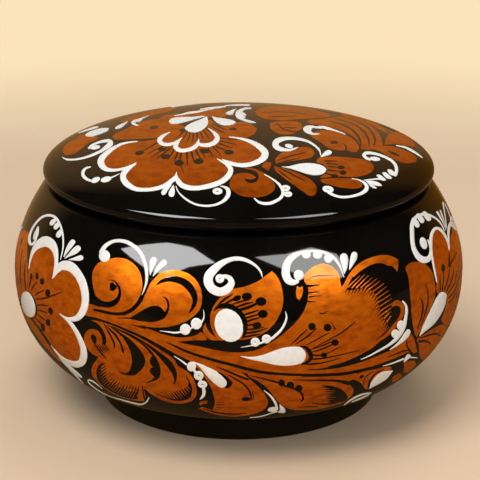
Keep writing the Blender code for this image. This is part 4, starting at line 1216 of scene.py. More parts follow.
LID_GOLD_FILLS = [
    # The flower
    [(138, 141), (125, 142.5), (115, 146), (106, 151), (100.5, 157), (100, 162), (103, 167),
     (110, 169.8), (120, 169), (130, 166.5), (125, 171.5), (123.5, 177), (126, 183), (132, 187.5),
     (142, 189.5), (153, 188.7), (164, 185.5), (172, 180), (176, 175), (179, 181), (186, 186.3),
     (197, 187.6), (209, 185.8), (220, 182), (228, 176), (231, 170), (229, 166), (223, 160.5),
     (232, 163), (244, 164.5), (255, 162.5), (263, 158), (265, 153), (261.5, 148), (255, 143.5),
     (246, 140), (237, 138.3), (228, 137), (215, 132), (200, 128), (180, 128), (160, 132),
     (148, 137)],
    [(114, 139), (112.5, 136), (117, 133), (126, 129), (136, 124), (146, 120.5), (156, 119),
     (166, 119.5), (176, 123), (186, 127), (181, 133), (165, 137), (150, 139.5), (138, 140),
     (125, 140.5)],
    [(203, 128), (209, 119), (213, 121.5), (219, 126), (228, 126), (236, 122.5), (244, 122),
     (252, 125), (257, 129), (254, 134), (246, 137.5), (236, 137.5), (225, 136.5), (212, 132)],
    # The left leaf, and the disc in front with its stem
    [(63, 152), (64, 147), (68, 143), (74, 139.5), (80, 135.5), (84.5, 134.8), (89, 136.3),
     (95, 136.8), (99, 138), (96, 140), (89, 143), (83, 147.5), (78, 151.5), (71, 154.8),
     (65.5, 155)],
    [(229.5, 184), (231.5, 178), (236, 174), (243, 172.8), (249, 173.5), (254, 175.5), (257, 179),
     (258.5, 175), (256, 171.5), (250, 169.5), (243, 168.5), (248, 167.8), (256, 169.3),
     (263, 172.5), (270, 177.5), (274.5, 183.5), (275, 188.5), (270.5, 193.5), (262, 196.8),
     (251, 197.3), (241, 195.5), (233, 191), (230, 187)],
    [(261.5, 166.5), (266, 162), (271.5, 163), (270.5, 167), (268.5, 170.8), (265, 168.8)],
    # The leaves on the right
    [(275, 160), (280, 154), (288, 150.5), (297, 148), (306, 147), (312, 149), (314.5, 153),
     (312, 157), (305, 159), (296, 160.5), (286, 162), (276, 163.5)],
    [(274, 166), (282, 168), (292, 171), (302, 175), (311, 180), (316, 186), (316.5, 192),
     (313, 196), (309, 195.5), (303, 191.5), (296, 186.5), (288, 181), (281, 175.5), (275, 170)],
    [(318, 158.5), (325, 157), (333, 156.5), (342, 157), (352, 158), (362, 159.3), (369, 161.5),
     (373, 165), (373.5, 169), (370, 173), (362, 176), (352, 177.2), (338, 176.5), (327, 178),
     (320, 177.5), (326, 173), (327, 169), (323, 164.5), (316, 162)],
    [(320, 180), (325, 178.5), (335, 178), (345, 178.2), (352, 178.8), (358, 180), (362, 183.5),
     (362, 187), (357, 188.5), (348, 188.3), (338, 187), (330, 184.8), (323, 182.5)],
    [(310, 134), (318, 131), (328, 130), (337, 131.5), (345, 134.5), (352, 138.5), (357, 143),
     (359, 148), (357, 152), (352, 152), (347, 150), (343, 150.5), (336, 150), (328, 147.5),
     (320, 142), (313, 138)],
    [(307, 121.6), (311, 119.8), (322, 119), (336, 117.5), (350, 118), (362, 121.5), (372, 127),
     (379, 134), (382, 141), (383, 147), (372, 147), (362, 149.5), (357, 140), (350, 134.5),
     (340, 130), (330, 127), (320, 124.6), (312, 124), (308.5, 123)],
    [(360, 149.5), (368, 146.8), (378, 146), (388, 146), (398, 148), (406, 151), (413, 154.5),
     (417, 158), (416, 162), (408, 163.3), (399, 161.5), (391, 157.5), (383, 153.3),
     (377, 150), (368, 149.6)],
    # The leaf at the back
    [(270, 123), (277, 121.5), (286, 121), (294, 121.5), (301, 123.5), (303, 127), (299, 131),
     (292, 134), (283, 134.5), (275, 132), (270.5, 128)],
]

# The marks far back on the lid, in steps of 0.3 mm on its map: x to the right, y to the front
LID_BACK_FILLS = [
    [(-78, -26), (-76, -40), (-66, -50), (-54, -48), (-45, -50), (-36, -60), (-24, -66),
     (-14, -58), (-9, -42), (-12, -26), (-18, -17), (-30, -22), (-50, -24), (-66, -22)],
    [(-118, -46), (-112, -62), (-101, -78), (-86, -92), (-71, -98), (-62, -92), (-64, -78),
     (-73, -64), (-86, -54), (-101, -45), (-112, -40)],
    [(138, 26), (141, 4), (147, -22), (155, -44), (163, -56), (169, -54), (172, -36), (172, -14),
     (169, 1), (161, 8), (152, 12), (143, 21)],
    [(16, -46), (23, -71), (37, -87), (55, -93), (71, -88), (83, -77), (90, -63), (89, -50),
     (80, -38), (67, -28), (54, -19), (41, -12), (29, -12), (20, -24)],
    [(102, -78), (106, -90), (116, -98), (126, -92), (133, -77), (139, -60), (144, -42),
     (146, -26), (140, -29), (132, -43), (123, -57), (112, -66), (104, -70)],
]

LID_BACK_WHITE_LINES = [
    [(-68, -109, 3), (-61, -117, 10), (-52, -126, 15), (-45, -132, 13)],
    [(-37, -67, 3), (-30, -71, 8), (-22, -75, 12), (-17, -78, 9)],
    [(-13, -87, 3), (-4, -91, 8), (3, -92, 12), (7, -91, 10)],
    [(-62, -41, 2), (-55, -44, 5), (-47, -50, 11), (-41, -53, 10), (-33, -59, 4), (-26, -64, 2)],
    [(75, 26, 2), (69, 28, 5), (65, 21, 7), (65.5, 10, 8), (69, 3.5, 8), (74, 4, 6), (78, 5, 4)],
    [(74, 5, 5), (80, 1, 9), (86, 4, 8), (92, 8, 4.5), (98, 13, 2.5), (101, 16, 1)],
    [(151, 18, 2), (156, 16, 4), (161, 15, 7), (167, 18, 8), (172, 22, 5), (176, 25, 2)],
]

LID_DARK_LINES = [
    # Rays of the flower
    [(157, 143, 1.4), (150, 147, 1.2), (143, 151, 0.6)],
    [(163, 146.5, 1.2), (155, 150, 1), (148, 154, 0.5)],
    [(167, 147.5, 1.4), (158.5, 152.5, 1.1), (151, 157.5, 0.5)],
    [(171, 148, 1.4), (163.5, 153.5, 1.1), (157, 158.5, 0.5)],
    [(174, 150, 1.6), (171, 155, 1.3), (167.5, 160, 0.6)],
    [(178, 152, 2), (176, 157, 1.6), (174, 161.5, 0.6)],
    [(181.5, 152.5, 2), (180.3, 159, 1.6), (181.5, 167, 1), (184, 174, 0.4)],
    [(187, 153, 2), (187, 158, 1.6), (187.5, 165, 0.6)],
    [(191.5, 152.5, 2), (193, 158, 1.6), (194.5, 163, 0.6)],
    [(196, 151, 2), (199, 156, 1.4), (201.5, 160, 0.6)],
    [(200, 149.5, 1.6), (203, 154, 1.2), (206, 158, 0.5)],
    [(208, 148, 1.4), (211, 153, 1.1), (213, 158, 0.5)],
    [(213, 147, 1.4), (217, 151, 1.1), (221, 155, 0.5)],
    [(216, 146.5, 1.6), (222, 149, 1.2), (227, 151, 0.6)],
    [(219, 143.5, 1.4), (226, 146, 1.1), (232, 148, 0.5)],
    [(220.5, 141, 1.2), (228, 142.8, 1), (236, 144.3, 0.5)],
    [(220, 138, 1.2), (229, 139, 1), (238, 140, 0.5)],
    [(184, 131, 1.6), (181, 134, 1.2), (178, 137, 0.5)],
    [(187, 132.5, 1.6), (185, 136, 1.2), (182.5, 140, 0.5)],
    [(190, 133, 1.6), (189, 138, 1.2), (187, 142, 0.5)],
    [(193.5, 133.2, 1.8), (193, 138, 1.3), (191.5, 143.5, 0.6)],
    [(197, 133, 1.8), (197.2, 137, 1.3), (197, 140, 0.8)],
    [(200, 132, 1.6), (202, 136, 1.2), (203.5, 140, 0.5)],
    [(203, 130.5, 1.6), (206, 134, 1.2), (208.5, 138, 0.5)],
    [(205.5, 128.5, 1.4), (209, 131, 1.1), (212, 134, 0.5)],
    [(113, 140.5, 1), (125, 140.6, 1.8), (138, 140, 2.2), (150, 139.3, 1.8), (158, 138, 1)],
    [(213, 124, 1), (219, 127, 1.2), (227, 130, 0.6)],
    [(211.5, 126, 1), (218, 130, 1.2), (225, 133.3, 0.6)],
    # Disc
    [(241, 168.7, 0.6), (247, 169.8, 1.2), (253.5, 172, 1.8), (257.2, 175.8, 2.4),
     (256.3, 179.5, 3.2), (252, 181.3, 3.6), (247.5, 180.6, 3), (245.3, 179.3, 1.4)],
    # Veins of the leaves
    [(278, 160.5, 0.6), (286, 157.5, 1.2), (296, 154.8, 1.2), (306, 152.3, 0.6)],
    [(279, 162.5, 0.6), (290, 160.3, 1), (300, 158, 0.5)],
    [(280, 168.5, 0.6), (288, 172.3, 1.4), (297, 177, 1.2), (305, 181, 0.6)],
    [(278, 170.3, 0.6), (284.5, 175.3, 1.3), (292, 180.5, 0.6)],
    [(276, 165.5, 0.6), (285, 166.8, 1.6), (295, 170.3, 1.2), (305, 174, 0.6)],
    [(325, 161, 1.4), (331, 161, 1.2), (338, 161.3, 0.6)],
    [(327, 163.5, 1.4), (332, 164, 1.2), (338, 164.8, 0.6)],
    [(328, 166.5, 1.4), (333, 167, 1.2), (338, 167.5, 0.6)],
    [(328, 170, 1.4), (334, 170.8, 1.2), (340, 171.5, 0.6)],
    [(326, 173.5, 1.4), (331, 174.8, 1.2), (336, 176, 0.6)],
    [(320, 179, 1), (330, 177.8, 1.2), (342, 177.2, 1), (352, 178, 0.6)],
    [(343, 143, 0.6), (345.5, 146, 1.4), (346, 149.5, 1.6), (344.5, 151.5, 1)],
    [(330, 121.5, 0.8), (342, 124.5, 1.4), (352, 130, 2), (359, 138, 2.4), (361, 146, 1.2)],
    [(338, 119.5, 0.8), (350, 122.5, 1.2), (361, 129, 1.6), (368, 138, 2), (369, 146, 1)],
    [(348, 118.5, 0.6), (360, 122.5, 1.4), (371, 131, 2), (375, 140, 2), (374, 146, 1)],
    [(388, 151.3, 0.8), (393, 153.3, 2.6), (399, 155.8, 1)],
    [(277, 123, 0.6), (280.5, 127, 1.2), (286, 130, 1.4), (293, 131.5, 1.4), (300, 131, 0.8)],
    [(284, 127.5, 0.6), (289, 127.8, 1.2), (296, 128, 0.8)],
    [(262, 113, 0.6), (276, 112, 1), (292, 112.5, 1), (308, 114.5, 0.6)],
    [(268, 117, 0.6), (282, 116.5, 1), (298, 116, 0.6)],
]

LID_DARK_BLOBS = [
    (139.5, 153, 9, 4.5, -8), (165.5, 156.7, 9.5, 5, -8), (179, 163, 9.5, 6, 0),
    (198.5, 161.5, 10, 5.5, -5), (162, 149.5, 8, 4, 0), (204.5, 151, 10, 5, 5),
    (154, 127.3, 9, 3, -5), (229, 152.3, 9.5, 4.5, 0), (233, 129, 8, 2.5, 0),
    (183, 130.3, 7, 4, 0), (341, 167.5, 7.5, 4, 0), (343, 172.6, 7, 4.6, 0),
    (334.5, 176, 7, 3.5, 0),
    (334, 142.5, 8, 3, 0), (396, 154.5, 5, 2.4, 20),
]

LID_WHITE_FILLS = [
    # Drops in the flower
    [(168.8, 122), (170.5, 119.6), (175, 118), (183, 117.4), (193, 117.2), (203, 116.4),
     (205, 116.7), (198, 118.6), (190, 120.9), (182, 122.9), (175, 124), (170.5, 123.6)],
    [(207, 116.8), (208, 121), (207.5, 125), (204, 129), (199, 131.8), (193.5, 132.6),
     (188, 131.4), (184.8, 129), (185.8, 127.2), (189, 124.8), (194, 122.3), (200, 120.1),
     (204.5, 118)],
    [(212, 116.5), (216, 118), (222, 118.6), (229, 119.8), (234, 121.3), (236, 122.5),
     (233.5, 124.5), (228, 125.5), (222, 125.2), (217.5, 123.3), (214, 120.3)],
    # Far edge
    [(225.5, 113.8), (228, 112), (233, 110), (236.5, 109), (234, 112), (233, 114.5), (229, 114.8)],
    [(252, 108.5), (245, 110), (242, 112), (245, 114), (246.5, 115.5), (243, 116), (246, 117.5),
     (243, 118.8), (248, 120.5), (253, 121.8), (256, 123), (250, 122.8), (243, 120.8),
     (237.5, 118.5), (235.5, 116), (236, 112.5), (240, 109.5), (246, 108)],
    [(131, 123), (133, 121), (138, 119.5), (143, 117.8), (149, 115.8), (143, 119), (140.5, 121.5),
     (136.5, 122), (134, 123), (137, 124.8), (139, 125.5), (135.5, 125.8), (132.5, 124.8)],
    [(115, 128.5), (118, 126), (123, 123.8), (128.5, 121.5), (126, 124), (122.5, 127), (118, 129),
     (115.5, 129.2)],
    [(109, 128.5), (103, 128.5), (96, 130), (89, 132.5), (85.5, 135), (86, 136.5), (90, 136.8),
     (96, 135.5), (103, 133), (108.5, 130.3)],
    # Drops on the right
    [(320.5, 157), (324, 153), (327, 150.8), (330.5, 151), (332, 153), (330, 155), (326, 156),
     (321.5, 157.3)],
    [(281.5, 167), (288, 166.8), (296, 165), (304, 163.7), (312, 163.8), (319, 165),
     (324.5, 167.5), (326.5, 170), (324.5, 173), (320, 175), (314, 175.2), (306, 173.8),
     (298, 171.3), (290, 168.8)],
    [(387, 170.3), (390, 169.7), (394, 172.5), (396.5, 175.5), (393, 175.8), (389, 173.8)],
    [(382, 173), (385, 172.7), (389, 175.5), (392, 178.5), (389.5, 179.2), (385, 177)],
    [(376.3, 175.5), (379, 175), (383, 177.5), (386, 180.3), (383.5, 181), (379.5, 179)],
    [(365.5, 181.2), (370, 181), (376, 182), (380, 184), (382, 186), (377, 186), (371, 184.5),
     (367, 182.6)],
    [(367.5, 183), (371, 184.8), (374, 186.3), (376.5, 188.5), (373.5, 188.3), (370, 186)],
]

LID_WHITE_LINES = [
    # Petals
    [(137.5, 141.4, 0.8), (130, 142.2, 1.4), (122, 143.9, 2.2), (115.5, 147, 3), (110, 150.5, 4.2),
     (105, 154.8, 5), (101.8, 158.5, 6), (100.8, 161.8, 6.8), (102, 165.5, 6.2),
     (105.5, 168.8, 4.6), (111, 170.2, 3.2), (117, 170, 2.6), (123, 168.8, 2.4), (128, 167, 2),
     (132, 165.2, 1.4), (136, 162.8, 0.8)],
    [(136, 164, 0.8), (131, 167.2, 2.4), (126.5, 170.5, 4.6), (123.5, 174, 5.6), (123.3, 178.5, 6),
     (125.5, 182.5, 6), (129.5, 186, 5.4), (136, 189, 4.2), (144, 189.8, 3.6), (152, 189.3, 3.6),
     (160, 187.5, 4), (166.5, 184.8, 4.4), (171.5, 181, 4.6), (174.5, 178.3, 4),
     (176.2, 174.5, 1.6), (176.5, 172, 0.6)],
    [(176.4, 173.5, 0.8), (176.5, 177.5, 3.4), (178.3, 181.5, 4.8), (182, 185.3, 5),
     (188, 187.6, 4.8), (196, 188.2, 4.4), (205, 187, 4.6), (213, 185, 5), (220, 182.3, 5),
     (225.5, 178.8, 5.4), (229.3, 174.5, 5.6), (230.8, 170.3, 5), (229.5, 167, 4.6),
     (226, 163.8, 3.2), (221, 161, 1.8), (217, 158.8, 0.6)],
    [(229, 137, 0.6), (236, 137.8, 1.4), (243, 139.2, 2.4), (250, 141.5, 3.4), (256.5, 144.8, 4.8),
     (261.8, 148.8, 6), (265, 153, 7), (264.3, 157, 6.6), (259.5, 161, 5.4), (252.5, 163.8, 4.6),
     (245, 165.2, 4.2), (238, 165, 3.8), (231.5, 163.5, 3.6), (226.5, 161.5, 2.4),
     (222.5, 159.5, 0.8)],
    [(170, 132.2, 0.6), (165.5, 134.5, 2), (161.5, 137.3, 3.8), (159.6, 140.3, 5),
     (161.3, 143, 4.2), (165.5, 144.5, 3.2), (170.5, 144.2, 3), (174.5, 143, 2.6),
     (178.5, 140.5, 2), (182, 138, 0.8)],
    [(180.5, 139.5, 1), (177.5, 142.5, 3.4), (175.5, 146, 4.8), (177.5, 149.3, 4.4),
     (182, 150.6, 3.8), (187.5, 150, 3.6), (192.5, 148.3, 3.8), (196.5, 145.5, 3.8),
     (198.2, 142.5, 3), (198.6, 139.5, 0.8)],
    [(208, 128.3, 0.6), (212.5, 131.5, 2), (216, 135, 4), (217.3, 138.7, 5), (214.8, 142.3, 4.6),
     (209.5, 144.7, 4), (204, 145.2, 3.6), (199.5, 144.2, 2.8), (198.3, 141.5, 1.4)],
    # Far edge
    [(78.5, 133, 0.6), (84, 131, 1.4), (90, 129, 1.8), (94, 127.8, 2), (98, 126.8, 1)],
    # Left curl and hook
    [(62.5, 157.3, 0.8), (66, 159.3, 1.6), (74, 159.6, 1.8), (84, 157.8, 2), (93, 154.8, 2.4),
     (101, 151, 2.8), (107, 146.8, 4.2), (110.8, 143, 5), (109.5, 141, 3.6), (103.5, 141.2, 2.6),
     (97, 143, 2), (91.5, 145.5, 2), (88.8, 148.2, 1.8)],
    [(90.5, 166.9, 1), (86, 168.3, 2), (83.3, 171.3, 3), (83, 175, 3.4), (85.5, 178.2, 3),
     (89, 180.2, 2.4), (92, 181, 1.8)],
    [(110, 178.3, 1.4), (115, 176, 1), (119.5, 173.6, 0.5)],
    [(171.5, 184.8, 0.6), (168, 187.5, 3), (165, 190.5, 4.6), (163.5, 192.8, 4.6)],
    [(173.5, 185.3, 0.8), (172.8, 188.5, 3.6), (172, 192, 5.8), (171.5, 194, 6)],
    # Front curl and the hook round the disc
    [(176, 186.5, 0.8), (177.5, 190.5, 1.2), (180.5, 194.5, 1.6), (185, 198.5, 1.8),
     (191, 202.3, 1.9), (198, 205, 1.9), (207, 205.9, 2), (216, 204.6, 2.2), (223, 201.3, 3),
     (227.3, 196.8, 4), (228.6, 192.5, 4.4), (227.3, 189, 3.6), (224, 187, 2),
     (220.5, 186.3, 0.8)],
    [(264.5, 174.5, 0.8), (270, 177.5, 1.2), (275, 180.8, 1.8), (279.5, 185, 2.6), (282.5, 190, 3),
     (282.8, 194, 3), (280.5, 198, 3), (276, 201, 3), (270, 203.3, 3), (264, 203.5, 2.8),
     (258.5, 202, 2.2), (254.5, 198.5, 1.2)],
    # Upper curl
    [(320.8, 155.5, 0.8), (319.5, 150.5, 1.8), (315, 145.8, 2), (308, 141.5, 2.2),
     (300, 139.3, 2.6), (291, 138.3, 3), (283, 139, 4), (277, 141.3, 5.6), (275.3, 144.5, 6.2),
     (278, 148, 5), (283.5, 149.7, 3.4), (289, 150, 2.4), (294, 149, 1.8), (297.5, 147.5, 0.8)],
    # Right arc
    [(395.5, 175, 3), (396.5, 170.5, 3.2), (395.6, 165.5, 3), (392, 161, 2.6), (386, 157.5, 2.4),
     (379, 154.8, 2.4), (372, 153.2, 2.6), (366, 153.2, 3.2), (363.8, 155, 3.4), (366, 157.8, 2.8),
     (370, 159.6, 2.2)],
    [(364, 180.2, 0.8), (371, 179.5, 1.2), (378, 179, 1.6), (382, 179.3, 1.6)],
    [(352, 178.7, 0.6), (358, 179.7, 1), (363, 182, 2), (366.3, 185.5, 3.4), (366.5, 189, 4.2),
     (363, 192.5, 3.4), (357, 195, 2.6), (349, 196.8, 2.4), (341, 197, 2.4), (334, 195.3, 2.4),
     (329, 192.5, 3)],
]

LID_WHITE_RINGS = [
    (217.5, 191.3, 10, 6.6, 0), (285.5, 188.2, 9.4, 6.2, 0), (288, 194.2, 8.4, 5.6, 0),
    (328, 189.3, 11.5, 6.6, 10),
]

LID_WHITE_BLOBS = [
    (95, 147.4, 10.5, 4, -8), (95.6, 180, 9.5, 5, -25), (106, 179.4, 11, 5.4, -16),
    (289, 146, 8.4, 3.8, 12), (375, 158.9, 10.5, 4, 8),
]


# Materials

# Black lacquer: its tones from dark to light, and its roughness from low to high
LACQUER_TONES = ((0.0025, 0.0022, 0.0017), (0.0045, 0.004, 0.003))
LACQUER_GLOSS = (0.03, 0.055)
DARK_PAINT_TONES = ((0.003, 0.0024, 0.0017), (0.007, 0.005, 0.003))
DARK_PAINT_GLOSS = (0.03, 0.06)
LACQUER_INPUTS = {"IOR": 1.5}
# Copper gold paint: stops of tone along the streaks, and how much darker it is on the lid, where a
# darker copy of the same paint is painted shade
GOLD_TONES = (
    (0.3, (0.61, 0.085, 0.001)),
    (0.5, (0.88, 0.150, 0.002)),
    (0.7, (0.99, 0.222, 0.003)),
)
GOLD_LID_SHADE = 0.72
GOLD_INPUTS = {
    "Metallic": 0.65,
    "IOR": 1.8,
    "Specular IOR Level": 0.9,
    "Specular Tint": (1, 0.95, 0.1, 1),
    "Coat Weight": 0.35,
    "Coat Roughness": 0.03,
}
# White paint, which keeps less gloss on the lid, so that it stays white at a low angle
WHITE_TONES = ((0.78, 0.785, 0.77), (0.86, 0.87, 0.86))
WHITE_ON_LID_TONES = ((0.76, 0.77, 0.74), (0.83, 0.84, 0.81))
WHITE_GLOSS = (0.25, 0.4)
WHITE_INPUTS = {"Specular IOR Level": 0.498, "Coat Weight": 0.6, "Coat Roughness": 0.05}
WHITE_ON_LID_INPUTS = {
    "Specular IOR Level": 0.1245,
    "Coat Weight": 0.15,
    "Coat Roughness": 0.05,
}


def noise(tree, scale, detail, stretch=(1, 1, 1)):
    """A procedural noise in object space."""
    coordinates = tree.nodes.new("ShaderNodeTexCoord")
    mapping = tree.nodes.new("ShaderNodeMapping")
    mapping.inputs["Scale"].default_value = stretch
    texture = tree.nodes.new("ShaderNodeTexNoise")
    texture.inputs["Scale"].default_value = scale
    texture.inputs["Detail"].default_value = detail
    tree.links.new(coordinates.outputs["Object"], mapping.inputs["Vector"])
    tree.links.new(mapping.outputs["Vector"], texture.inputs["Vector"])
    return texture.outputs["Fac"]


def ramp(tree, source, stops):
    """Colours along a value, from stops of (value, colour)."""
    made = tree.nodes.new("ShaderNodeValToRGB")
    elements = made.color_ramp.elements
    elements[0].position, elements[0].color = stops[0][0], (*stops[0][1], 1)
    elements[1].position, elements[1].color = stops[-1][0], (*stops[-1][1], 1)
    for position, colour in stops[1:-1]:
        elements.new(position).color = (*colour, 1)
    tree.links.new(source, made.inputs["Fac"])
    return made.outputs["Color"]


def map_range(tree, source, before, after, smooth=False):
    """The source moved from the first range to the second one, and held at its ends."""
    made = tree.nodes.new("ShaderNodeMapRange")
    if smooth:
        made.interpolation_type = "SMOOTHSTEP"
    for socket, value in zip(("From Min", "From Max", "To Min", "To Max"), before + after):
        made.inputs[socket].default_value = value
    tree.links.new(source, made.inputs["Value"])
    return made.outputs["Result"]


def relief(tree, shader, source, depth, strength):
    """Fine bumps under the gloss."""
    bump = tree.nodes.new("ShaderNodeBump")
    bump.inputs["Distance"].default_value = depth
    bump.inputs["Strength"].default_value = strength
    tree.links.new(source, bump.inputs["Height"])
    tree.links.new(bump.outputs["Normal"], shader.inputs["Normal"])


def new_material(name, inputs):
    """A material, its node tree and its shader with these inputs set."""
    made = bpy.data.materials.new(name)
    made.use_nodes = True
    shader = made.node_tree.nodes["Principled BSDF"]
    for socket, value in inputs.items():
        shader.inputs[socket].default_value = value
    return made, made.node_tree, shader


def lacquer_material(name, tones, gloss):
    """Black gloss lacquer with a faint warm cloudiness and the softest ripple."""
    made, tree, shader = new_material(name, LACQUER_INPUTS)
    dark, light = tones
    cloud = noise(tree, scale=55, detail=4)
    tree.links.new(ramp(tree, cloud, [(0.35, dark), (0.7, light)]), shader.inputs["Base Color"])
    fine = noise(tree, scale=420, detail=3)
    tree.links.new(map_range(tree, fine, (0, 1), gloss), shader.inputs["Roughness"])
    ripple = noise(tree, scale=160, detail=2)
    relief(tree, shader, ripple, depth=0.00002, strength=0.25)
    return made


def gold_material(name, tone):
    """Copper gold paint under clear lacquer: streaked by the brush, with a bright grain."""
    made, tree, shader = new_material(name, GOLD_INPUTS)
    streak = noise(tree, scale=330, detail=7, stretch=(1, 1, 1.9))
    stops = [(place, tuple(tone * part for part in colour)) for place, colour in GOLD_TONES]
    tree.links.new(ramp(tree, streak, stops), shader.inputs["Base Color"])
    grain = noise(tree, scale=1500, detail=2, stretch=(0.6, 0.6, 1.8))
    tree.links.new(map_range(tree, grain, (0, 1), (0.27, 0.45)), shader.inputs["Roughness"])
    relief(tree, shader, grain, depth=0.0001, strength=0.4)
    return made


def enamel_material(name, tones, inputs):
    """Thick opaque paint with slight brush tone and a soft gloss."""
    made, tree, shader = new_material(name, inputs)
    shade, bright = tones
    tone = noise(tree, scale=700, detail=4)
    tree.links.new(ramp(tree, tone, [(0.3, shade), (0.65, bright)]), shader.inputs["Base Color"])
    fine = noise(tree, scale=1300, detail=3)
    tree.links.new(map_range(tree, fine, (0, 1), WHITE_GLOSS), shader.inputs["Roughness"])
    relief(tree, shader, noise(tree, scale=1100, detail=3), depth=0.00008, strength=0.3)
    return made


# Stage, light and camera

BACKDROP = (0.97, 0.77, 0.50)
# The floor: its tones, how far away it goes over into the backdrop, how much painted shade darkens
# it in reflections, and where the painted reflection of a wall begins behind the object
FLOOR_SIZE = 6.0
FLOOR_SHADE = (0.69, 0.52, 0.36)
FLOOR_BRIGHT = (0.75, 0.565, 0.39)
FLOOR_ROUGHNESS = 0.9
FLOOR_FADES = (0.22, 0.48)
MIRRORED_SHADE_SHARE = 0.92
MIRRORED_FLOOR_SHADE = (0.07, 0.036, 0.008)
WALL_BEGINS = (0.05, 0.2)
# The wall that the gloss mirrors, a painted reflection that is darker and warmer to the right as
# painted shade, from the left to the right of the camera's view, and how far it reaches to each
# side on the floor, in metres, and in the world, as a direction
WALL_LEFT = (0.34, 0.195, 0.07)
WALL_MIDDLE = (0.40, 0.215, 0.09)
WALL_RIGHT = (0.22, 0.085, 0.006)
WALL_STOPS = ((0.0, WALL_LEFT), (0.5, WALL_MIDDLE), (0.65, WALL_MIDDLE), (0.85, WALL_RIGHT))
WALL_REACH = 0.3
WORLD_WALL_REACH = 0.6
# The world: where the painted wall comes up from the front to the back, and fades from low to high
WORLD_BEHIND = (0.4, 0.66)
WORLD_FRONT = 0.03
WORLD_HIGH = (0.58, 0.86)
WORLD_OVERHEAD = 0.07
WORLD_FILL = (0.40, 0.38, 0.35)
# The two glowing panels: how brightly they shine, their corners as seen from the object in degrees
# round to the right and up, and how far away they stand
LEFT_RADIANCE = 12.0
RIGHT_RADIANCE = 7.6
LEFT_LAMP = [
    (-13.7, 40.0), (-30, 46.5), (-46.5, 45.4), (-71, 32), (-49, 28), (-37.5, 28.2), (-28, 35.7),
]
RIGHT_LAMP = [
    (10, 43.6), (29, 43), (46, 42.7), (58, 34.5), (59, 25.4), (54, 21.6), (38, 25.5), (24, 35.5),
]
LAMP_DISTANCE = 1.3
# Each soft lamp: degrees round and up, distance, size, and how brightly it lights white
SOFT_LAMPS = (
    ("high_key", -35, 61, 1.4, 0.7, 0.56),
    ("back_key", 150, 62, 1.4, 0.7, 0.18),
    ("front_fill", 16, 24, 1.4, 0.7, 0.29),
)


def direction(azimuth, elevation):
    """A way from the object: 0 degrees is towards the camera, and more is to the right."""
    turn, rise = math.radians(azimuth), math.radians(elevation)
    return Vector(
        (math.sin(turn) * math.cos(rise), -math.cos(turn) * math.cos(rise), math.sin(rise))
    )


def placed(name, data):
    """A new object in the scene."""
    made = bpy.data.objects.new(name, data)
    bpy.context.scene.collection.objects.link(made)
    return made


def emission(tree, colour=(1, 1, 1), strength=1.0):
    """An emission shader."""
    made = tree.nodes.new("ShaderNodeEmission")
    made.inputs["Color"].default_value = (*colour, 1)
    made.inputs["Strength"].default_value = strength
    return made


def softbox(name, corners, radiance):
    """A flat glowing panel whose corners are seen from the object in these directions."""
    ways = [direction(*corner) for corner in corners]
    middle = sum(ways, Vector()).normalized()
    target = Vector((0, 0, WIDEST_HEIGHT))
    points = [target + way * LAMP_DISTANCE / way.dot(middle) for way in ways]
    mesh = bpy.data.meshes.new(name)
    mesh.from_pydata([tuple(point) for point in points], [], [list(range(len(points)))])
    glow = bpy.data.materials.new(name + "_glow")
    glow.use_nodes = True
    tree = glow.node_tree
    tree.nodes.clear()
    output = tree.nodes.new("ShaderNodeOutputMaterial")
    shine = emission(tree, strength=radiance)
    tree.links.new(shine.outputs["Emission"], output.inputs["Surface"])
    mesh.materials.append(glow)
    panel = placed(name, mesh)
    panel.visible_camera = False
    panel.visible_diffuse = False


def combined(tree, operation, first, second):
    """Two values brought together by one operation."""
    made = tree.nodes.new("ShaderNodeMath")
    made.operation = operation
    tree.links.new(first, made.inputs[0])
    tree.links.new(second, made.inputs[1])
    return made.outputs["Value"]


def mixed(tree, share, first, second):
    """The first shader, and the second one by its share."""
    made = tree.nodes.new("ShaderNodeMixShader")
    tree.links.new(share, made.inputs["Fac"])
    tree.links.new(first, made.inputs[1])
    tree.links.new(second, made.inputs[2])
    return made.outputs["Shader"]


def painted_wall_colour(tree, across, reach):
    """The painted wall's colour by the way across, from minus the reach to the reach."""
    return ramp(tree, map_range(tree, across, (-reach, reach), (0, 1)), WALL_STOPS)


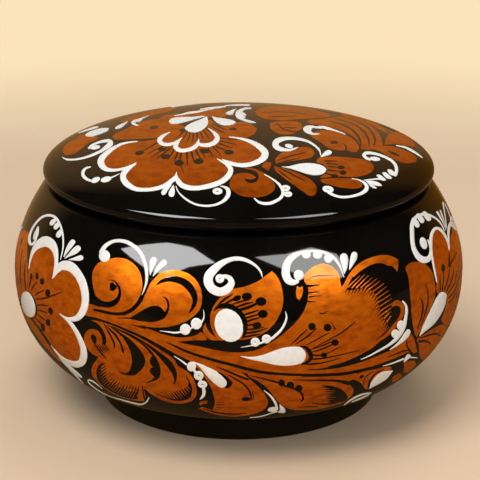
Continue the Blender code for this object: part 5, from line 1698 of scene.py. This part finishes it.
def floor_material():
    """Warm sand near the object, which goes over into an even bright backdrop.

    The camera sees the backdrop all round. Mirrored rays see a painted reflection: the floor
    darkened by painted shade, with a painted wall behind.
    """
    made, tree, shader = new_material("floor_sand", {"Roughness": FLOOR_ROUGHNESS})
    tone = noise(tree, scale=3, detail=2)
    stops = [(0.3, FLOOR_SHADE), (0.7, FLOOR_BRIGHT)]
    tree.links.new(ramp(tree, tone, stops), shader.inputs["Base Color"])
    coordinates = tree.nodes.new("ShaderNodeTexCoord")
    parts = tree.nodes.new("ShaderNodeSeparateXYZ")
    tree.links.new(coordinates.outputs["Object"], parts.inputs["Vector"])
    away = tree.nodes.new("ShaderNodeVectorMath")
    away.operation = "LENGTH"
    tree.links.new(coordinates.outputs["Object"], away.inputs[0])
    path = tree.nodes.new("ShaderNodeLightPath")
    glossy = path.outputs["Is Glossy Ray"]
    through = path.outputs["Is Transmission Ray"]
    seen = combined(tree, "MAXIMUM", path.outputs["Is Camera Ray"], through)
    around = map_range(tree, away.outputs["Value"], FLOOR_FADES, (0, 1), smooth=True)
    behind = map_range(tree, parts.outputs["Y"], WALL_BEGINS, (0, 1), smooth=True)
    glow = emission(tree, BACKDROP)
    dark = emission(tree, MIRRORED_FLOOR_SHADE)
    # A glowing wall that only reflections see: a painted reflection
    wall = emission(tree)
    tree.links.new(painted_wall_colour(tree, parts.outputs["X"], WALL_REACH), wall.inputs["Color"])
    # In reflections the floor is mostly the dark glow: painted shade
    painted_shade_share = map_range(tree, glossy, (0, 1), (0, MIRRORED_SHADE_SHARE))
    ground = mixed(tree, painted_shade_share, shader.outputs["BSDF"], dark.outputs["Emission"])
    far = combined(tree, "MULTIPLY", behind, glossy)
    mirrored = mixed(tree, far, ground, wall.outputs["Emission"])
    share = combined(tree, "MULTIPLY", around, seen)
    whole = mixed(tree, share, mirrored, glow.outputs["Emission"])
    tree.links.new(whole, tree.nodes["Material Output"].inputs["Surface"])
    return made


def make_floor():
    """A flat square floor under the object."""
    half = FLOOR_SIZE / 2
    mesh = bpy.data.meshes.new("floor")
    corners = [(-half, -half, 0), (half, -half, 0), (half, half, 0), (-half, half, 0)]
    mesh.from_pydata(corners, [], [[0, 1, 2, 3]])
    mesh.materials.append(floor_material())
    placed("floor", mesh)


def background(tree, colour=(1, 1, 1)):
    """A background shader."""
    made = tree.nodes.new("ShaderNodeBackground")
    made.inputs["Color"].default_value = (*colour, 1)
    return made


def make_world():
    """For the gloss, dark with a painted reflection of a warm wall low down behind; for the camera,
    an even backdrop.
    """
    world = bpy.data.worlds.new("studio")
    world.use_nodes = True
    tree = world.node_tree
    tree.nodes.clear()
    coordinates = tree.nodes.new("ShaderNodeTexCoord")
    parts = tree.nodes.new("ShaderNodeSeparateXYZ")
    tree.links.new(coordinates.outputs["Generated"], parts.inputs["Vector"])
    behind = map_range(tree, parts.outputs["Y"], WORLD_BEHIND, (WORLD_FRONT, 1))
    low = map_range(tree, parts.outputs["Z"], WORLD_HIGH, (1, WORLD_OVERHEAD))
    # The wall that only reflections see: a painted reflection, darker and warmer to the right
    wall = background(tree)
    tree.links.new(painted_wall_colour(tree, parts.outputs["X"], WORLD_WALL_REACH), wall.inputs["Color"])
    tree.links.new(combined(tree, "MULTIPLY", behind, low), wall.inputs["Strength"])
    fill = background(tree, WORLD_FILL)
    seen = background(tree, BACKDROP)
    path = tree.nodes.new("ShaderNodeLightPath")
    glossy = path.outputs["Is Glossy Ray"]
    mirrored = mixed(tree, glossy, fill.outputs["Background"], wall.outputs["Background"])
    camera_ray = path.outputs["Is Camera Ray"]
    whole = mixed(tree, camera_ray, mirrored, seen.outputs["Background"])
    output = tree.nodes.new("ShaderNodeOutputWorld")
    tree.links.new(whole, output.inputs["Surface"])
    bpy.context.scene.world = world


def soft_lamp(name, azimuth, elevation, distance, size, level):
    """A square lamp that lights the paint softly. At level 1 alone, white renders white."""
    lamp = bpy.data.lights.new(name, "AREA")
    lamp.size = size
    lamp.energy = level * (math.pi * distance) ** 2
    panel = placed(name, lamp)
    way = direction(azimuth, elevation)
    panel.location = way * distance
    panel.rotation_euler = (-way).to_track_quat("-Z", "Y").to_euler()
    panel.visible_glossy = False


def make_camera():
    """The camera that took the photograph."""
    lens = bpy.data.cameras.new("photo_camera")
    lens.sensor_width = SENSOR
    lens.lens = FOCAL_PIXELS * SENSOR / FRAME_PIXELS
    lens.clip_start = CAMERA_NEAREST
    camera = placed("photo_camera", lens)
    camera.location = CAMERA_PLACE
    camera.rotation_euler = (math.pi / 2 - CAMERA_PITCH, 0, -CAMERA_YAW)
    bpy.context.scene.camera = camera


# Making it all

# How high each kind of mark stands over the lacquer, and how little the dark ones are domed
GOLD_HEIGHT = 0.00003
DARK_HEIGHT = 0.00006
TEETH_HEIGHT = 0.00014
WHITE_HEIGHT = 0.00016
DARK_DOME = 0.12
# The bowl's marks are set at the front and once more at the back
ONCE = (0.0,)
FRONT_AND_BACK = (0.0, math.pi)


def paint_bowl(gold, dark, white):
    """The bowl's marks: those of the photograph, and then those of its hidden sides."""
    front = BowlSurface(bowl_outside())
    side = SideSurface(bowl_outside())
    leaves = Ink(GOLD_HEIGHT, FRONT_AND_BACK)
    leaves.draw(front, fills=BOWL_GOLD_FILLS)
    leaves.draw(side, fills=SIDE_GOLD_FILLS)
    leaves.piece("bowl_gold_leaves", gold, "bowl")
    strokes = Ink(DARK_HEIGHT, FRONT_AND_BACK, DARK_DOME)
    strokes.draw(
        front,
        fills=BOWL_DARK_FILLS,
        lines=BOWL_DARK_LINES,
        blobs=BOWL_DARK_BLOBS,
        combs=BOWL_DARK_COMBS,
    )
    strokes.draw(side, lines=SIDE_DARK_LINES, blobs=SIDE_DARK_BLOBS)
    strokes.piece("bowl_dark_strokes", dark, "bowl")
    teeth = Ink(TEETH_HEIGHT, FRONT_AND_BACK)
    teeth.draw(front, combs=BOWL_GOLD_COMBS)
    teeth.piece("bowl_gold_teeth", gold, "bowl")
    whites = Ink(WHITE_HEIGHT, FRONT_AND_BACK)
    whites.draw(front, lines=BOWL_WHITE_LINES, blobs=BOWL_WHITE_BLOBS, rings=BOWL_WHITE_RINGS)
    whites.draw(side, lines=SIDE_WHITE_LINES, blobs=SIDE_WHITE_BLOBS)
    whites.piece("bowl_white_lines", white, "bowl")


def paint_lid(gold, dark, white):
    """The lid's marks: those of the photograph, and then those far back on its map."""
    crown = LidSurface(lid_outside())
    plan = LidPlan(lid_outside())
    leaves = Ink(GOLD_HEIGHT, ONCE)
    leaves.draw(crown, fills=LID_GOLD_FILLS)
    leaves.draw(plan, fills=LID_BACK_FILLS)
    leaves.piece("lid_gold_leaves", gold, "lid")
    strokes = Ink(DARK_HEIGHT, ONCE, DARK_DOME)
    strokes.draw(crown, lines=LID_DARK_LINES, blobs=LID_DARK_BLOBS)
    strokes.piece("lid_dark_strokes", dark, "lid")
    whites = Ink(WHITE_HEIGHT, ONCE)
    whites.draw(
        crown,
        fills=LID_WHITE_FILLS,
        lines=LID_WHITE_LINES,
        blobs=LID_WHITE_BLOBS,
        rings=LID_WHITE_RINGS,
    )
    whites.draw(plan, lines=LID_BACK_WHITE_LINES)
    whites.piece("lid_white_lines", white, "lid")


def main():
    """The stage, then the two turned pieces and the painting on them."""
    bpy.context.scene.view_settings.view_transform = "Standard"
    make_camera()
    make_world()
    make_floor()
    softbox("softbox_left", LEFT_LAMP, LEFT_RADIANCE)
    softbox("softbox_right", RIGHT_LAMP, RIGHT_RADIANCE)
    for lamp in SOFT_LAMPS:
        soft_lamp(*lamp)

    bowl_lacquer = lacquer_material("bowl_black_lacquer", LACQUER_TONES, LACQUER_GLOSS)
    lid_lacquer = lacquer_material("lid_black_lacquer", LACQUER_TONES, LACQUER_GLOSS)
    gold = gold_material("copper_gold_paint", 1.0)
    # The lid's gold is a darker copy of the same paint: painted shade
    shaded_lid_gold = gold_material("copper_gold_paint_lid_shaded", GOLD_LID_SHADE)
    dark = lacquer_material("dark_brush_paint", DARK_PAINT_TONES, DARK_PAINT_GLOSS)
    white = enamel_material("white_paint", WHITE_TONES, WHITE_INPUTS)
    white_on_lid = enamel_material("white_paint_lid", WHITE_ON_LID_TONES, WHITE_ON_LID_INPUTS)

    bowl = turned("bowl_turned", bowl_profile(), bowl_lacquer, "bowl")
    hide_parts("bowl")
    lid = turned("lid_turned", lid_profile(), lid_lacquer, "lid")
    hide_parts("lid")
    paint_bowl(gold, dark, white)
    paint_lid(shaded_lid_gold, dark, white_on_lid)


main()
